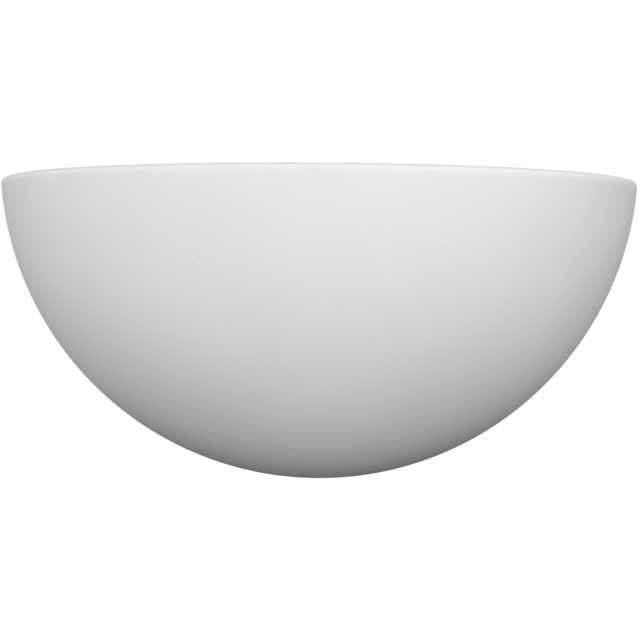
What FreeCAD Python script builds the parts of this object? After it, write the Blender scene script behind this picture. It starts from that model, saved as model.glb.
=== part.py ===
"""Uplighter wall sconce: a half bowl of unglazed ceramic, open at the top, hung on a steel bracket that
carries an upright small screw lampholder with its lamp.

Millimetres. The wall is the plane y = 0 and the light stands out towards -Y, +Z is up, and the origin
lies midway between the two wall slots of the bracket. A depth below is a distance in front of the wall.
"""

import FreeCAD, Part
import math
import os

import Sketcher

os.makedirs("parts", exist_ok=True)
V = FreeCAD.Vector
doc = FreeCAD.newDocument("wall_uplighter")

# ---------------------------------------------------------------- driving sizes

SIZES = {
    # ceramic half bowl
    "bowl_width": 310.0,
    "bowl_height": 145.0,
    "bowl_wall": 6.0,
    "bowl_drop": 100.0,
    "lip_outer_round": 3.0,
    "lip_inner_round": 1.5,
    "back_rim_width": 8.0,
    "back_rim_depth": 8.0,
    "back_rim_below_lip": 6.0,
    "lug_width": 30.0,
    "lug_depth": 9.2,
    "lug_hole_radius": 2.75,
    # pressed steel bracket
    "sheet": 1.5,
    "strap_beyond_stud": 12.0,
    "strap_height": 30.0,
    "plate_width": 90.0,
    "plate_drop": 45.0,
    "corner_round": 4.0,
    "wall_slot_spacing": 55.0,
    "wall_slot_length": 12.0,
    "wall_slot_radius": 2.6,
    "dish_radius": 13.0,
    "dish_step": 2.0,
    "dish_slope": 1.5,
    # fits shared by all pieces
    "seat_gap": 0.3,
    "fit_gap": 0.05,
    # studs, washers and thumb nuts that hold the bowl
    "stud_inset": 49.0,
    "stud_radius": 2.0,
    "stud_head_radius": 3.5,
    "stud_length": 24.0,
    "stud_chamfer": 0.5,
    "washer_radius": 5.5,
    "washer_thickness": 1.0,
    "nut_head_radius": 6.0,
    "nut_head_length": 5.5,
    "nut_collar_radius": 4.0,
    "nut_collar_length": 2.5,
    "nut_chamfer": 0.6,
    # arm and its rivets
    "arm_sheet": 2.0,
    "arm_width": 26.0,
    "arm_top_drop": 21.0,
    "arm_bend": 2.0,
    "arm_end_round": 12.0,
    "shelf_drop": 63.5,
    "shelf_beyond_holder": 13.0,
    "upper_rivet_drop": 27.0,
    "lower_rivet_drop": 38.0,
    "rivet_radius": 2.0,
    "rivet_head_radius": 3.5,
    "rivet_head_height": 1.4,
    # cable grommet
    "grommet_hole_radius": 7.0,
    "grommet_flange_radius": 9.5,
    "grommet_flange": 1.8,
    "cable_bore_radius": 4.5,
    # earth point
    "earth_across": 30.0,
    "earth_drop": 28.0,
    "earth_stud_length": 11.0,
    "ring_radius": 4.2,
    "ring_thickness": 0.8,
    "barrel_radius": 1.9,
    "barrel_start": 6.0,
    "barrel_length": 6.0,
    "barrel_turn": 40.0,
    "lock_washer_radius": 4.0,
    "lock_washer_thickness": 0.6,
    "earth_nut_flats": 7.0,
    "earth_nut_height": 3.2,
    # terminal block
    "block_inside_stud": 44.0,
    "pole_pitch": 12.0,
    "block_height": 17.0,
    "block_depth": 14.0,
    "block_web": 5.0,
    "pole_depth": 6.0,
    "tube_radius": 3.4,
    "tower_radius": 3.1,
    "tower_offset": 4.2,
    "insert_radius": 2.5,
    "insert_bore_radius": 1.5,
    "insert_length": 13.0,
    "pole_screw_radius": 1.25,
    "pole_screw_head_radius": 1.7,
    "pole_screw_head": 2.3,
    "pole_screw_sink": 1.2,
    "block_screw_radius": 1.45,
    "block_screw_head_radius": 2.4,
    "block_screw_head": 2.0,
    "screw_slot_width": 0.6,
    "screw_slot_depth": 0.7,
    # lampholder, upright at this distance from the wall
    "holder_reach": 52.0,
    "nipple_radius": 5.0,
    "nipple_bore_radius": 4.0,
    "nipple_below_shelf": 7.5,
    "nipple_washer_radius": 8.5,
    "nipple_washer_thickness": 0.6,
    "locknut_flats": 14.0,
    "locknut_height": 3.0,
    "holder_radius": 14.0,
    "holder_height": 48.0,
    "cap_height": 18.0,
    "cap_floor": 5.5,
    "cap_wall": 1.6,
    "cap_chamfer": 1.0,
    "grub_screw_radius": 1.5,
    "grub_screw_length": 7.0,
    "skirt_wall": 2.1,
    "skirt_spigot": 5.0,
    "skirt_spigot_wall": 1.15,
    "skirt_step": 1.5,
    "skirt_step_reach": 1.0,
    "skirt_mouth_radius": 7.9,
    "skirt_top": 2.0,
    "carrier_disc": 3.0,
    "carrier_sink": 1.0,
    "carrier_collar_radius": 9.4,
    "carrier_collar_height": 6.5,
    "sleeve_bore_radius": 7.1,
    "sleeve_wall": 0.5,
    "sleeve_below_top": 2.5,
    "contact_stem_radius": 1.2,
    "contact_radius": 3.0,
    "contact_height": 2.0,
    "contact_tail": 0.7,
    "holder_terminal_across": 4.0,
    "holder_terminal_width": 5.0,
    "holder_terminal_depth": 6.0,
    "holder_terminal_height": 5.0,
    "holder_wire_depth": 3.0,
    "holder_screw_drop": 3.5,
    "holder_screw_radius": 0.95,
    "holder_screw_head_radius": 1.8,
    "holder_screw_head": 1.3,
    # leads and the clip that holds two of them to the arm
    "lead_radius": 1.0,
    "lead_end_gap": 0.4,
    "lead_in_nipple": 1.5,
    "lead_droop": 8.0,
    "clip_first_lead": 17.0,
    "clip_second_lead": 19.6,
    "clip_lead_depth": 9.0,
    "clip_drop": 53.5,
    "clip_height": 7.0,
    "clip_wall": 1.4,
    "clip_jaw": 6.0,
    "clip_mouth": 1.5,
    # lamp
    "lamp_gap": 0.2,
    "lamp_length": 80.0,
    "globe_radius": 22.5,
    "globe_wall": 1.2,
    "globe_base_drop": 12.2,
    "lamp_cap_length": 26.2,
    "lamp_cap_radius": 6.95,
    "lamp_cap_wall": 0.45,
    "lamp_collar_radius": 7.3,
    "lamp_collar_height": 1.8,
    "lamp_contact_radius": 2.3,
    "lamp_contact_height": 1.0,
    "lamp_insulator_height": 2.8,
    "lamp_body_base_radius": 9.5,
    "lamp_body_wall": 1.4,
    "board_thickness": 1.2,
    "driver_half_width": 5.9,
    "driver_upper_half_width": 8.5,
    "led_board_gap": 0.2,
}

# places that follow from the sizes
PLACES = {
    "rim_height": "size.bowl_height - size.bowl_drop",
    "sphere_radius": "(size.bowl_width ^ 2 / 4 + size.bowl_height ^ 2) / (2 * size.bowl_height)",
    "sphere_height": "sphere_radius - size.bowl_drop",
    "cavity_radius": "sphere_radius - size.bowl_wall",
    "wall_middle_radius": "sphere_radius - size.bowl_wall / 2",
    "back_rim_radius": "cavity_radius - size.back_rim_width",
    "back_rim_top": "rim_height - size.back_rim_below_lip",
    "outer_round_height": "rim_height - size.lip_outer_round",
    "outer_round_reach": "sphere_radius - size.lip_outer_round",
    "outer_round_across": "sqrt(outer_round_reach ^ 2 - (outer_round_height - sphere_height) ^ 2)",
    "inner_round_height": "rim_height - size.lip_inner_round",
    "inner_round_reach": "cavity_radius + size.lip_inner_round",
    "inner_round_across": "sqrt(inner_round_reach ^ 2 - (inner_round_height - sphere_height) ^ 2)",
    "stud_across": "size.bowl_width / 2 - size.stud_inset",
    "strap_end": "stud_across + size.strap_beyond_stud",
    "lug_back": "size.sheet + size.seat_gap",
    "lug_front": "lug_back + size.lug_depth",
    "nut_back": "lug_front + size.washer_thickness",
    "dish_back": "size.dish_step",
    "dish_front": "size.dish_step + size.sheet",
    "arm_front": "size.sheet + size.arm_sheet",
    "shelf_top": "-size.shelf_drop",
    "shelf_bottom": "shelf_top - size.arm_sheet",
    "ring_front": "size.sheet + size.ring_thickness",
    "barrel_axis": "size.sheet + size.barrel_radius",
    "pole_axis": "size.sheet + size.pole_depth",
    "block_across": "stud_across - size.block_inside_stud",
    "block_front": "size.sheet + size.block_depth",
    "web_front": "size.sheet + size.block_web",
    "nipple_end": "shelf_bottom - size.nipple_below_shelf + size.arm_sheet",
    "nipple_top": "shelf_top + size.cap_floor",
    "cap_top": "shelf_top + size.cap_height",
    "holder_top": "shelf_top + size.holder_height",
    "cap_bore_radius": "size.holder_radius - size.cap_wall",
    "spigot_radius": "cap_bore_radius - size.fit_gap",
    "spigot_bore_radius": "spigot_radius - size.skirt_spigot_wall",
    "skirt_bore_radius": "size.holder_radius - size.skirt_wall",
    "carrier_bottom": "cap_top - size.carrier_sink",
    "carrier_top": "carrier_bottom + size.carrier_disc",
    "sleeve_radius": "size.sleeve_bore_radius + size.sleeve_wall",
    "lamp_tip": "carrier_top + size.contact_height + size.lamp_gap",
    "lamp_neck": "lamp_tip + size.lamp_cap_length",
    "lamp_cap_end": "lamp_tip + size.lamp_contact_height + size.lamp_insulator_height",
    "lamp_centre": "lamp_tip + size.lamp_length - size.globe_radius",
    "globe_base": "lamp_centre - size.globe_base_drop",
    "globe_inner_radius": "size.globe_radius - size.globe_wall",
    "globe_base_radius": "sqrt(size.globe_radius ^ 2 - size.globe_base_drop ^ 2)",
    "globe_base_inner_radius": "sqrt(globe_inner_radius ^ 2 - size.globe_base_drop ^ 2)",
}


def fill_sheet(name, cells, mark):
    """Write one named value to each row of a new sheet, with the name as the cell's alias."""
    sheet = doc.addObject("Spreadsheet::Sheet", name)
    for row, (alias, content) in enumerate(cells.items(), start=1):
        sheet.set(f"A{row}", alias)
        sheet.set(f"B{row}", f"{mark}{content}")
        sheet.setAlias(f"B{row}", alias)
    doc.recompute()
    return sheet


size_sheet = fill_sheet("size", SIZES, "")
place_sheet = fill_sheet("place", PLACES, "=")
subparts = []


def value(expression):
    """Work out an expression of the two sheets as a plain number."""
    result = size_sheet.evalExpression(str(expression))
    return float(getattr(result, "Value", result))


# ---------------------------------------------------------------- helpers


def new_body(label, across="0", depth="0", height="0"):
    """Start a piece whose own origin lies at this distance across, in front of the wall and up."""
    body = doc.addObject("PartDesign::Body", label)
    body.Label = label
    body.setExpression("Placement.Base.x", across)
    body.setExpression("Placement.Base.y", f"-({depth})")
    body.setExpression("Placement.Base.z", height)
    return body


def new_sketch(body, name, plane="XZ_Plane", lift=None):
    """Attach a sketch to one of the body's own origin planes, lifted along the plane's normal."""
    sketch = body.newObject("Sketcher::SketchObject", f"{body.Name}_{name}")
    origin_plane = [item for item in body.Origin.OriginFeatures if item.Role == plane][0]
    sketch.AttachmentSupport = [(origin_plane, "")]
    sketch.MapMode = "FlatFace"
    if lift:
        sketch.setExpression("AttachmentOffset.Base.z", lift)
    return sketch


def fix(sketch, kind, geometry, point, expression):
    """Tie one coordinate of a sketch point to an expression."""
    rule = Sketcher.Constraint(kind, -1, 1, geometry, point, value(expression))
    index = sketch.addConstraint(rule)
    sketch.setExpression(f"Constraints[{index}]", str(expression))


def trace(sketch, corners):
    """Draw a closed outline. A corner (across, up) is reached by a straight line, and a corner
    (across, up, centre across, centre up) by the shorter arc around that centre."""
    points = [V(value(corner[0]), value(corner[1]), 0) for corner in corners]
    spans = []
    for index, corner in enumerate(corners):
        start = points[index - 1]
        end = points[index]
        if len(corner) == 2:
            spans.append((sketch.addGeometry(Part.LineSegment(start, end)), 1, 2))
            continue
        centre = V(value(corner[2]), value(corner[3]), 0)
        circle = Part.Circle(centre, V(0, 0, 1), (start - centre).Length)
        first = math.atan2(start.y - centre.y, start.x - centre.x)
        last = math.atan2(end.y - centre.y, end.x - centre.x)
        if (last - first) % (2 * math.pi) < math.pi:
            spans.append((sketch.addGeometry(Part.ArcOfCircle(circle, first, last)), 1, 2))
        else:
            spans.append((sketch.addGeometry(Part.ArcOfCircle(circle, last, first)), 2, 1))
    for index, corner in enumerate(corners):
        before, here = spans[index - 1], spans[index]
        sketch.addConstraint(Sketcher.Constraint("Coincident", before[0], before[2], here[0], here[1]))
        coordinates = {"DistanceX": corner[0], "DistanceY": corner[1]}
        if len(corner) == 4:
            fix(sketch, "DistanceX", here[0], 3, corner[2])
            fix(sketch, "DistanceY", here[0], 3, corner[3])
            offset = points[index] - V(value(corner[2]), value(corner[3]), 0)
            coordinates.pop("DistanceX" if abs(offset.x) > abs(offset.y) else "DistanceY")
        for kind, expression in coordinates.items():
            fix(sketch, kind, here[0], here[2], expression)


def draw_circles(sketch, circles):
    """Draw full circles, each given as (centre across, centre up, radius)."""
    for across, up, radius in circles:
        shape = Part.Circle(V(value(across), value(up), 0), V(0, 0, 1), value(radius))
        circle = sketch.addGeometry(shape)
        fix(sketch, "DistanceX", circle, 3, across)
        fix(sketch, "DistanceY", circle, 3, up)
        index = sketch.addConstraint(Sketcher.Constraint("Radius", circle, value(radius)))
        sketch.setExpression(f"Constraints[{index}]", str(radius))


def rectangle(left, right, bottom, top):
    """Corners of an upright rectangle."""
    return [(left, bottom), (right, bottom), (right, top), (left, top)]


def hexagon(flats):
    """Corners of a hexagon of this width across its flats."""
    reach = f"({flats}) / sqrt(3)"
    return [(f"{reach} * cos({60 * k} deg)", f"{reach} * sin({60 * k} deg)") for k in range(6)]


def slot(centre, length, radius):
    """Outline of a slot along the sketch's first axis, centred on it."""
    half = f"({length}) / 2 - ({radius})"
    left, right = f"({centre}) - ({half})", f"({centre}) + ({half})"
    return [
        (right, radius),
        (f"{right} + ({radius})", "0", right, "0"),
        (right, f"-({radius})", right, "0"),
        (left, f"-({radius})"),
        (f"{left} - ({radius})", "0", left, "0"),
        (left, radius, left, "0"),
    ]


def pad(sketch, length, symmetric=False):
    """Grow a sketch into a solid."""
    feature = sketch.getParentGeoFeatureGroup().newObject("PartDesign::Pad", f"{sketch.Name}_pad")
    feature.Profile = sketch
    feature.setExpression("Length", length)
    if symmetric:
        feature.SideType = "Symmetric"
    return feature


def removed(body, feature, before):
    """Stop if a cut took nothing away."""
    doc.recompute()
    if not feature.Shape.Volume < before - 1e-6:
        raise RuntimeError(f"{feature.Name} in {body.Name} cuts nothing")
    return feature


def pocket(sketch, length=None, reverse=False):
    """Cut a sketch out of its body, right through both ways when no length is given."""
    body = sketch.getParentGeoFeatureGroup()
    doc.recompute()
    before = body.Shape.Volume
    feature = body.newObject("PartDesign::Pocket", f"{sketch.Name}_pocket")
    feature.Profile = sketch
    if length is None:
        feature.Type = "ThroughAll"
        feature.SideType = "Symmetric"
    else:
        feature.setExpression("Length", length)
        feature.Reversed = reverse
    return removed(body, feature, before)


def revolve(sketch, angle=360.0, reverse=False):
    """Spin a sketch about its own upright axis."""
    feature = sketch.getParentGeoFeatureGroup().newObject("PartDesign::Revolution", f"{sketch.Name}_turn")
    feature.Profile = sketch
    feature.ReferenceAxis = (sketch, ["V_Axis"])
    feature.Angle = angle
    feature.Reversed = reverse
    return feature


def pattern(body, feature, kind, **settings):
    """Repeat or mirror a feature and make the result the body's shape."""
    copies = body.newObject(f"PartDesign::{kind}", f"{feature.Name}_{kind}")
    copies.Originals = [feature]
    for name, setting in settings.items():
        setattr(copies, name, setting)
    body.Tip = copies
    return copies


def round_edges(feature, radius, chosen):
    """Round those edges of a feature that the test picks."""
    doc.recompute()
    names = [f"Edge{i}" for i, edge in enumerate(feature.Shape.Edges, start=1) if chosen(edge)]
    body = feature.getParentGeoFeatureGroup()
    fillet = body.newObject("PartDesign::Fillet", f"{feature.Name}_round")
    fillet.Base = (feature, names)
    fillet.setExpression("Radius", radius)
    return fillet


def runs_along(edge, axis):
    """True for a straight edge that runs along this axis."""
    direction = edge.Vertexes[-1].Point - edge.Vertexes[0].Point
    return direction.Length > 1e-6 and abs(direction.dot(axis)) > 0.999 * direction.Length


def origin_plane_of(body, role):
    """One of the body's origin planes or axes."""
    return [item for item in body.Origin.OriginFeatures if item.Role == role][0]


def turned(label, along, corners, across="0", depth="0", height="0"):
    """A lathe turned piece. Corners are (radius, height) along Z, or (radius, depth) along Y."""
    body = new_body(label, across, depth, height)
    if along == "Z":
        sketch = new_sketch(body, "outline", "XZ_Plane")
        trace(sketch, corners)
    else:
        sketch = new_sketch(body, "outline", "XY_Plane")
        trace(sketch, [(corner[0], f"-({corner[1]})") for corner in corners])
    revolve(sketch)
    return body


def keep(piece):
    """Count a finished piece among the sub-parts."""
    subparts.append(piece)
    return piece


def group(label, members):
    """Keep several like pieces as separate solids of one sub-part."""
    compound = doc.addObject("Part::Compound", label)
    compound.Label = label
    compound.Links = members
    return keep(compound)


# ---------------------------------------------------------------- ceramic bowl


def make_bowl():
    """Half of a deep bowl of revolution, with a flat rim round its open back and two lugs on it."""
    body = new_body("bowl")
    section = new_sketch(body, "section")

    def where_round_meets(side, sphere):
        """Place where the lip's round runs into the sphere of this radius."""
        share = f"place.{sphere} / place.{side}_round_reach"
        rise = f"(place.{side}_round_height - place.sphere_height)"
        return f"place.{side}_round_across * {share}", f"place.sphere_height + {rise} * {share}"

    trace(section, [
        ("0", "place.sphere_height - place.sphere_radius"),
        (*where_round_meets("outer", "sphere_radius"), "0", "place.sphere_height"),
        ("place.outer_round_across", "place.rim_height",
         "place.outer_round_across", "place.outer_round_height"),
        ("place.inner_round_across", "place.rim_height"),
        (*where_round_meets("inner", "cavity_radius"),
         "place.inner_round_across", "place.inner_round_height"),
        ("0", "place.sphere_height - place.cavity_radius", "0", "place.sphere_height"),
    ])
    revolve(section, 180.0, reverse=True)

    back_rim = new_sketch(body, "back_rim")
    across_at_top = "sqrt({0} ^ 2 - (place.sphere_height - place.back_rim_top) ^ 2)"
    outer_across = across_at_top.format("place.wall_middle_radius")
    inner_across = across_at_top.format("place.back_rim_radius")
    trace(back_rim, [
        (inner_across, "place.back_rim_top", "0", "place.sphere_height"),
        (outer_across, "place.back_rim_top"),
        (f"-{outer_across}", "place.back_rim_top", "0", "place.sphere_height"),
        (f"-{inner_across}", "place.back_rim_top"),
    ])
    pad(back_rim, "size.back_rim_depth")

    lug = new_sketch(body, "lug", lift="place.lug_back")
    across_at = "sqrt(place.wall_middle_radius ^ 2 - (place.sphere_height {0} size.lug_width / 2) ^ 2)"
    tip = "place.stud_across - size.lug_width / 2"
    trace(lug, [
        ("place.stud_across", "size.lug_width / 2", "place.stud_across", "0"),
        (across_at.format("-"), "size.lug_width / 2"),
        (across_at.format("+"), "-size.lug_width / 2", "0", "place.sphere_height"),
        ("place.stud_across", "-size.lug_width / 2"),
        (tip, "0", "place.stud_across", "0"),
    ])
    lug_pad = pad(lug, "size.lug_depth")
    pattern(body, lug_pad, "Mirrored", MirrorPlane=(origin_plane_of(body, "YZ_Plane"), [""]))

    holes = new_sketch(body, "lug_holes")
    draw_circles(holes, [
        ("place.stud_across", "0", "size.lug_hole_radius"),
        ("-place.stud_across", "0", "size.lug_hole_radius"),
    ])
    pocket(holes, "place.lug_front + size.washer_thickness", reverse=True)
    keep(body)


# ---------------------------------------------------------------- bracket


def make_bracket():
    """Long strap with a wider plate hanging below its middle, pressed from one sheet."""
    body = new_body("wall_bracket")
    blank = new_sketch(body, "blank")
    trace(blank, [
        ("-place.strap_end", "size.strap_height / 2"),
        ("-place.strap_end", "-size.strap_height / 2"),
        ("-size.plate_width / 2", "-size.strap_height / 2"),
        ("-size.plate_width / 2", "-size.plate_drop"),
        ("size.plate_width / 2", "-size.plate_drop"),
        ("size.plate_width / 2", "-size.strap_height / 2"),
        ("place.strap_end", "-size.strap_height / 2"),
        ("place.strap_end", "size.strap_height / 2"),
    ])
    flat = pad(blank, "size.sheet")
    round_edges(flat, "size.corner_round", lambda edge: runs_along(edge, V(0, 1, 0)))

    for name, side in (("left", "-"), ("right", "")):
        wall_slot = new_sketch(body, f"{name}_slot")
        trace(wall_slot, slot(f"{side}size.wall_slot_spacing / 2", "size.wall_slot_length",
                              "size.wall_slot_radius"))
        pocket(wall_slot)

    holes = new_sketch(body, "holes")
    stud_hole = "size.stud_head_radius + size.fit_gap"
    block_screw_hole = "size.block_screw_radius + size.fit_gap"
    draw_circles(holes, [
        ("0", "0", "size.dish_radius"),
        ("place.stud_across", "0", stud_hole),
        ("-place.stud_across", "0", stud_hole),
        ("-size.earth_across", "-size.earth_drop", stud_hole),
        ("0", "-size.upper_rivet_drop", "size.rivet_radius + size.fit_gap"),
        ("0", "-size.lower_rivet_drop", "size.rivet_radius + size.fit_gap"),
        ("place.block_across - size.pole_pitch / 2", "0", block_screw_hole),
        ("place.block_across + size.pole_pitch / 2", "0", block_screw_hole),
    ])
    pocket(holes)

    dish = new_sketch(body, "dish", "XY_Plane")
    trace(dish, [
        ("size.dish_radius + size.sheet / 2", "0"),
        ("size.dish_radius - size.sheet / 2", "0"),
        ("size.dish_radius - size.sheet / 2 - size.dish_slope", "-place.dish_back"),
        ("size.grommet_hole_radius", "-place.dish_back"),
        ("size.grommet_hole_radius", "-place.dish_front"),
        ("size.dish_radius - size.dish_slope", "-place.dish_front"),
        ("size.dish_radius", "-size.sheet"),
        ("size.dish_radius + size.sheet / 2", "-size.sheet"),
    ])
    revolve(dish)
    keep(body)


def make_studs():
    """Two threaded studs pressed into the strap, their heads flush with its back."""
    members = []
    for name, side in (("left", "-"), ("right", "")):
        members.append(turned(f"stud_{name}", "Y", stud_outline("size.stud_length"),
                              across=f"{side}place.stud_across"))
    group("mounting_studs", members)


def stud_outline(length):
    """Outline of a clinch stud of this length, from the back of the sheet to its tip."""
    return [
        ("0", "0"),
        ("size.stud_head_radius", "0"),
        ("size.stud_head_radius", "size.sheet"),
        ("size.stud_radius", "size.sheet"),
        ("size.stud_radius", f"{length} - size.stud_chamfer"),
        ("size.stud_radius - size.stud_chamfer", length),
        ("0", length),
    ]


def make_bowl_fixings():
    """A fibre washer and a knurled thumb nut on each stud, in front of the bowl's lug."""
    washers = []
    bore = "size.stud_radius + size.fit_gap"
    for name, side in (("left", "-"), ("right", "")):
        across = f"{side}place.stud_across"
        washers.append(turned(f"washer_{name}", "Y", [
            ("size.stud_radius + size.seat_gap", "0"),
            ("size.washer_radius", "0"),
            ("size.washer_radius", "size.washer_thickness"),
            ("size.stud_radius + size.seat_gap", "size.washer_thickness"),
        ], across=across, depth="place.lug_front"))
        nut_length = "(size.nut_collar_length + size.nut_head_length)"
        keep(turned(f"thumb_nut_{name}", "Y", [
            (bore, "0"),
            ("size.nut_collar_radius", "0"),
            ("size.nut_collar_radius", "size.nut_collar_length"),
            ("size.nut_head_radius - size.nut_chamfer", "size.nut_collar_length"),
            ("size.nut_head_radius", "size.nut_collar_length + size.nut_chamfer"),
            ("size.nut_head_radius", f"{nut_length} - size.nut_chamfer"),
            ("size.nut_head_radius - size.nut_chamfer", nut_length),
            (bore, nut_length),
        ], across=across, depth="place.nut_back"))
    group("ear_washers", washers)


def make_arm():
    """Bent strip: an upright leg riveted to the plate and a level shelf for the lampholder."""
    body = new_body("bracket_arm")
    side = new_sketch(body, "side", "YZ_Plane")
    bend_depth = "(place.arm_front + size.arm_bend)"
    bend_height = "(place.shelf_top + size.arm_bend)"
    shelf_end = "-(size.holder_reach + size.shelf_beyond_holder)"
    trace(side, [
        ("-size.sheet", "-size.arm_top_drop"),
        ("-place.arm_front", "-size.arm_top_drop"),
        ("-place.arm_front", bend_height),
        (f"-{bend_depth}", "place.shelf_top", f"-{bend_depth}", bend_height),
        (shelf_end, "place.shelf_top"),
        (shelf_end, "place.shelf_bottom"),
        (f"-{bend_depth}", "place.shelf_bottom"),
        ("-size.sheet", bend_height, f"-{bend_depth}", bend_height),
    ])
    strip = pad(side, "size.arm_width", symmetric=True)
    middle = 0.5 * value("place.shelf_top + place.shelf_bottom")
    round_edges(strip, "size.arm_end_round", lambda edge: (
        runs_along(edge, V(0, 0, 1)) and abs(edge.CenterOfMass.z - middle) < 1e-3))

    rivet_holes = new_sketch(body, "rivet_holes")
    draw_circles(rivet_holes, [
        ("0", "-size.upper_rivet_drop", "size.rivet_radius + size.fit_gap"),
        ("0", "-size.lower_rivet_drop", "size.rivet_radius + size.fit_gap"),
    ])
    pocket(rivet_holes)
    nipple_hole = new_sketch(body, "nipple_hole", "XY_Plane")
    draw_circles(nipple_hole, [("0", "-size.holder_reach", "size.nipple_radius + size.fit_gap")])
    pocket(nipple_hole)
    keep(body)


def make_arm_rivets():
    """Two rivets, flush at the back of the plate and domed in front of the arm."""
    members = []
    for name in ("upper", "lower"):
        members.append(turned(f"{name}_rivet", "Y", [
            ("0", "0"),
            ("size.rivet_radius", "0"),
            ("size.rivet_radius", "place.arm_front"),
            ("size.rivet_head_radius", "place.arm_front"),
            ("0.9 * size.rivet_head_radius", "place.arm_front + 0.5 * size.rivet_head_height"),
            ("0.6 * size.rivet_head_radius", "place.arm_front + 0.9 * size.rivet_head_height"),
            ("0", "place.arm_front + size.rivet_head_height"),
        ], height=f"-size.{name}_rivet_drop"))
    group("arm_rivets", members)


def make_grommet():
    """Rubber ring that lines the cable entry in the dish."""
    neck = "(size.grommet_hole_radius - size.fit_gap)"
    keep(turned("cable_grommet", "Y", [
        ("size.cable_bore_radius", "place.dish_back - size.grommet_flange"),
        ("size.grommet_flange_radius", "place.dish_back - size.grommet_flange"),
        ("size.grommet_flange_radius", "place.dish_back"),
        (neck, "place.dish_back"),
        (neck, "place.dish_front"),
        ("size.grommet_flange_radius", "place.dish_front"),
        ("size.grommet_flange_radius - size.grommet_flange / 2", "place.dish_front + size.grommet_flange"),
        ("size.cable_bore_radius", "place.dish_front + size.grommet_flange"),
    ]))


# ---------------------------------------------------------------- earth point


def make_toothed_washer(label, along, radius, bore, thickness, teeth, **at):
    """Lock washer with notches cut round its edge."""
    body = new_body(label, **at)
    plane = "XZ_Plane" if along == "Y" else "XY_Plane"
    disc = new_sketch(body, "disc", plane)
    draw_circles(disc, [("0", "0", radius), ("0", "0", bore)])
    pad(disc, thickness)
    notch = new_sketch(body, "notch", plane)
    half = f"{radius} * {math.sin(math.pi / teeth / 2):.4f}"
    root = f"({bore}) + 0.45 * ({radius} - ({bore}))"
    trace(notch, rectangle(root, f"1.2 * {radius}", f"-{half}", half))
    cut = pocket(notch)
    axis = origin_plane_of(body, "Y_Axis" if along == "Y" else "Z_Axis")
    pattern(body, cut, "PolarPattern", Axis=(axis, [""]), Angle=360.0, Occurrences=teeth)
    return keep(body)


def make_hex_nut(label, along, flats, bore, thickness, **at):
    """Plain hexagon nut standing forward from its place along Y, or hanging down from it along Z."""
    body = new_body(label, **at)
    sketch = new_sketch(body, "hexagon", "XZ_Plane" if along == "Y" else "XY_Plane")
    trace(sketch, hexagon(flats))
    draw_circles(sketch, [("0", "0", bore)])
    feature = pad(sketch, thickness)
    feature.Reversed = along == "Z"
    return keep(body)


def make_earth_point():
    """Stud in the plate with the ring terminal, lock washer and nut of the earth lead."""
    place = {"across": "-size.earth_across", "height": "-size.earth_drop"}
    keep(turned("earth_stud", "Y", stud_outline("size.earth_stud_length"), **place))

    terminal = new_body("earth_ring_terminal", depth="size.sheet", **place)
    terminal.Placement.Rotation = FreeCAD.Rotation(V(0, -1, 0), value("size.barrel_turn"))
    terminal.setExpression("Placement.Rotation.Angle", "size.barrel_turn")
    ring = new_sketch(terminal, "ring")
    draw_circles(ring, [("0", "0", "size.ring_radius")])
    pad(ring, "size.ring_thickness")
    tongue = new_sketch(terminal, "tongue")
    trace(tongue, rectangle("0", "size.barrel_start + 1", "-0.7 * size.barrel_radius",
                            "0.7 * size.barrel_radius"))
    pad(tongue, "size.ring_thickness")
    barrel = new_sketch(terminal, "barrel", "YZ_Plane", lift="size.barrel_start")
    draw_circles(barrel, [
        ("-size.barrel_radius", "0", "size.barrel_radius"),
        ("-size.barrel_radius", "0", "size.lead_radius + size.fit_gap"),
    ])
    pad(barrel, "size.barrel_length")
    ring_hole = new_sketch(terminal, "ring_hole")
    draw_circles(ring_hole, [("0", "0", "size.stud_radius + size.fit_gap")])
    pocket(ring_hole)
    keep(terminal)

    bore = "size.stud_radius + size.fit_gap"
    make_toothed_washer("earth_lock_washer", "Y", "size.lock_washer_radius", bore,
                        "size.lock_washer_thickness", 10, depth="place.ring_front", **place)
    make_hex_nut("earth_nut", "Y", "size.earth_nut_flats", bore, "size.earth_nut_height",
                 depth="place.ring_front + size.lock_washer_thickness", **place)


# ---------------------------------------------------------------- terminal block


def make_terminal_block():
    """Three pole moulding: a tube and two screw towers to each pole, joined by a web."""
    body = new_body("terminal_block", across="place.block_across", depth="size.sheet")
    web = new_sketch(body, "web")
    reach = "(size.pole_pitch + size.tube_radius)"
    trace(web, rectangle(f"-{reach}", reach, "-size.block_height / 2", "size.block_height / 2"))
    pad(web, "size.block_web")

    for name, pole in (("left", "-size.pole_pitch"), ("middle", "0"), ("right", "size.pole_pitch")):
        tube = new_sketch(body, f"{name}_tube", "XY_Plane")
        draw_circles(tube, [(pole, "-size.pole_depth", "size.tube_radius")])
        pad(tube, "size.block_height", symmetric=True)
        towers = new_sketch(body, f"{name}_towers")
        draw_circles(towers, [
            (pole, "size.tower_offset", "size.tower_radius"),
            (pole, "-size.tower_offset", "size.tower_radius"),
        ])
        pad(towers, "size.block_depth")
        bore = new_sketch(body, f"{name}_bore", "XY_Plane")
        draw_circles(bore, [(pole, "-size.pole_depth", "size.insert_radius + size.fit_gap")])
        pocket(bore)
        screw_bores = new_sketch(body, f"{name}_screw_bores", lift="size.pole_depth")
        screw_bore = "size.pole_screw_head_radius + size.fit_gap"
        draw_circles(screw_bores, [
            (pole, "size.tower_offset", screw_bore),
            (pole, "-size.tower_offset", screw_bore),
        ])
        pocket(screw_bores, "size.block_depth", reverse=True)

    fixing = new_sketch(body, "fixing_holes")
    draw_circles(fixing, [
        ("-size.pole_pitch / 2", "0", "size.block_screw_radius + size.seat_gap"),
        ("size.pole_pitch / 2", "0", "size.block_screw_radius + size.seat_gap"),
    ])
    pocket(fixing)
    keep(body)


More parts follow.
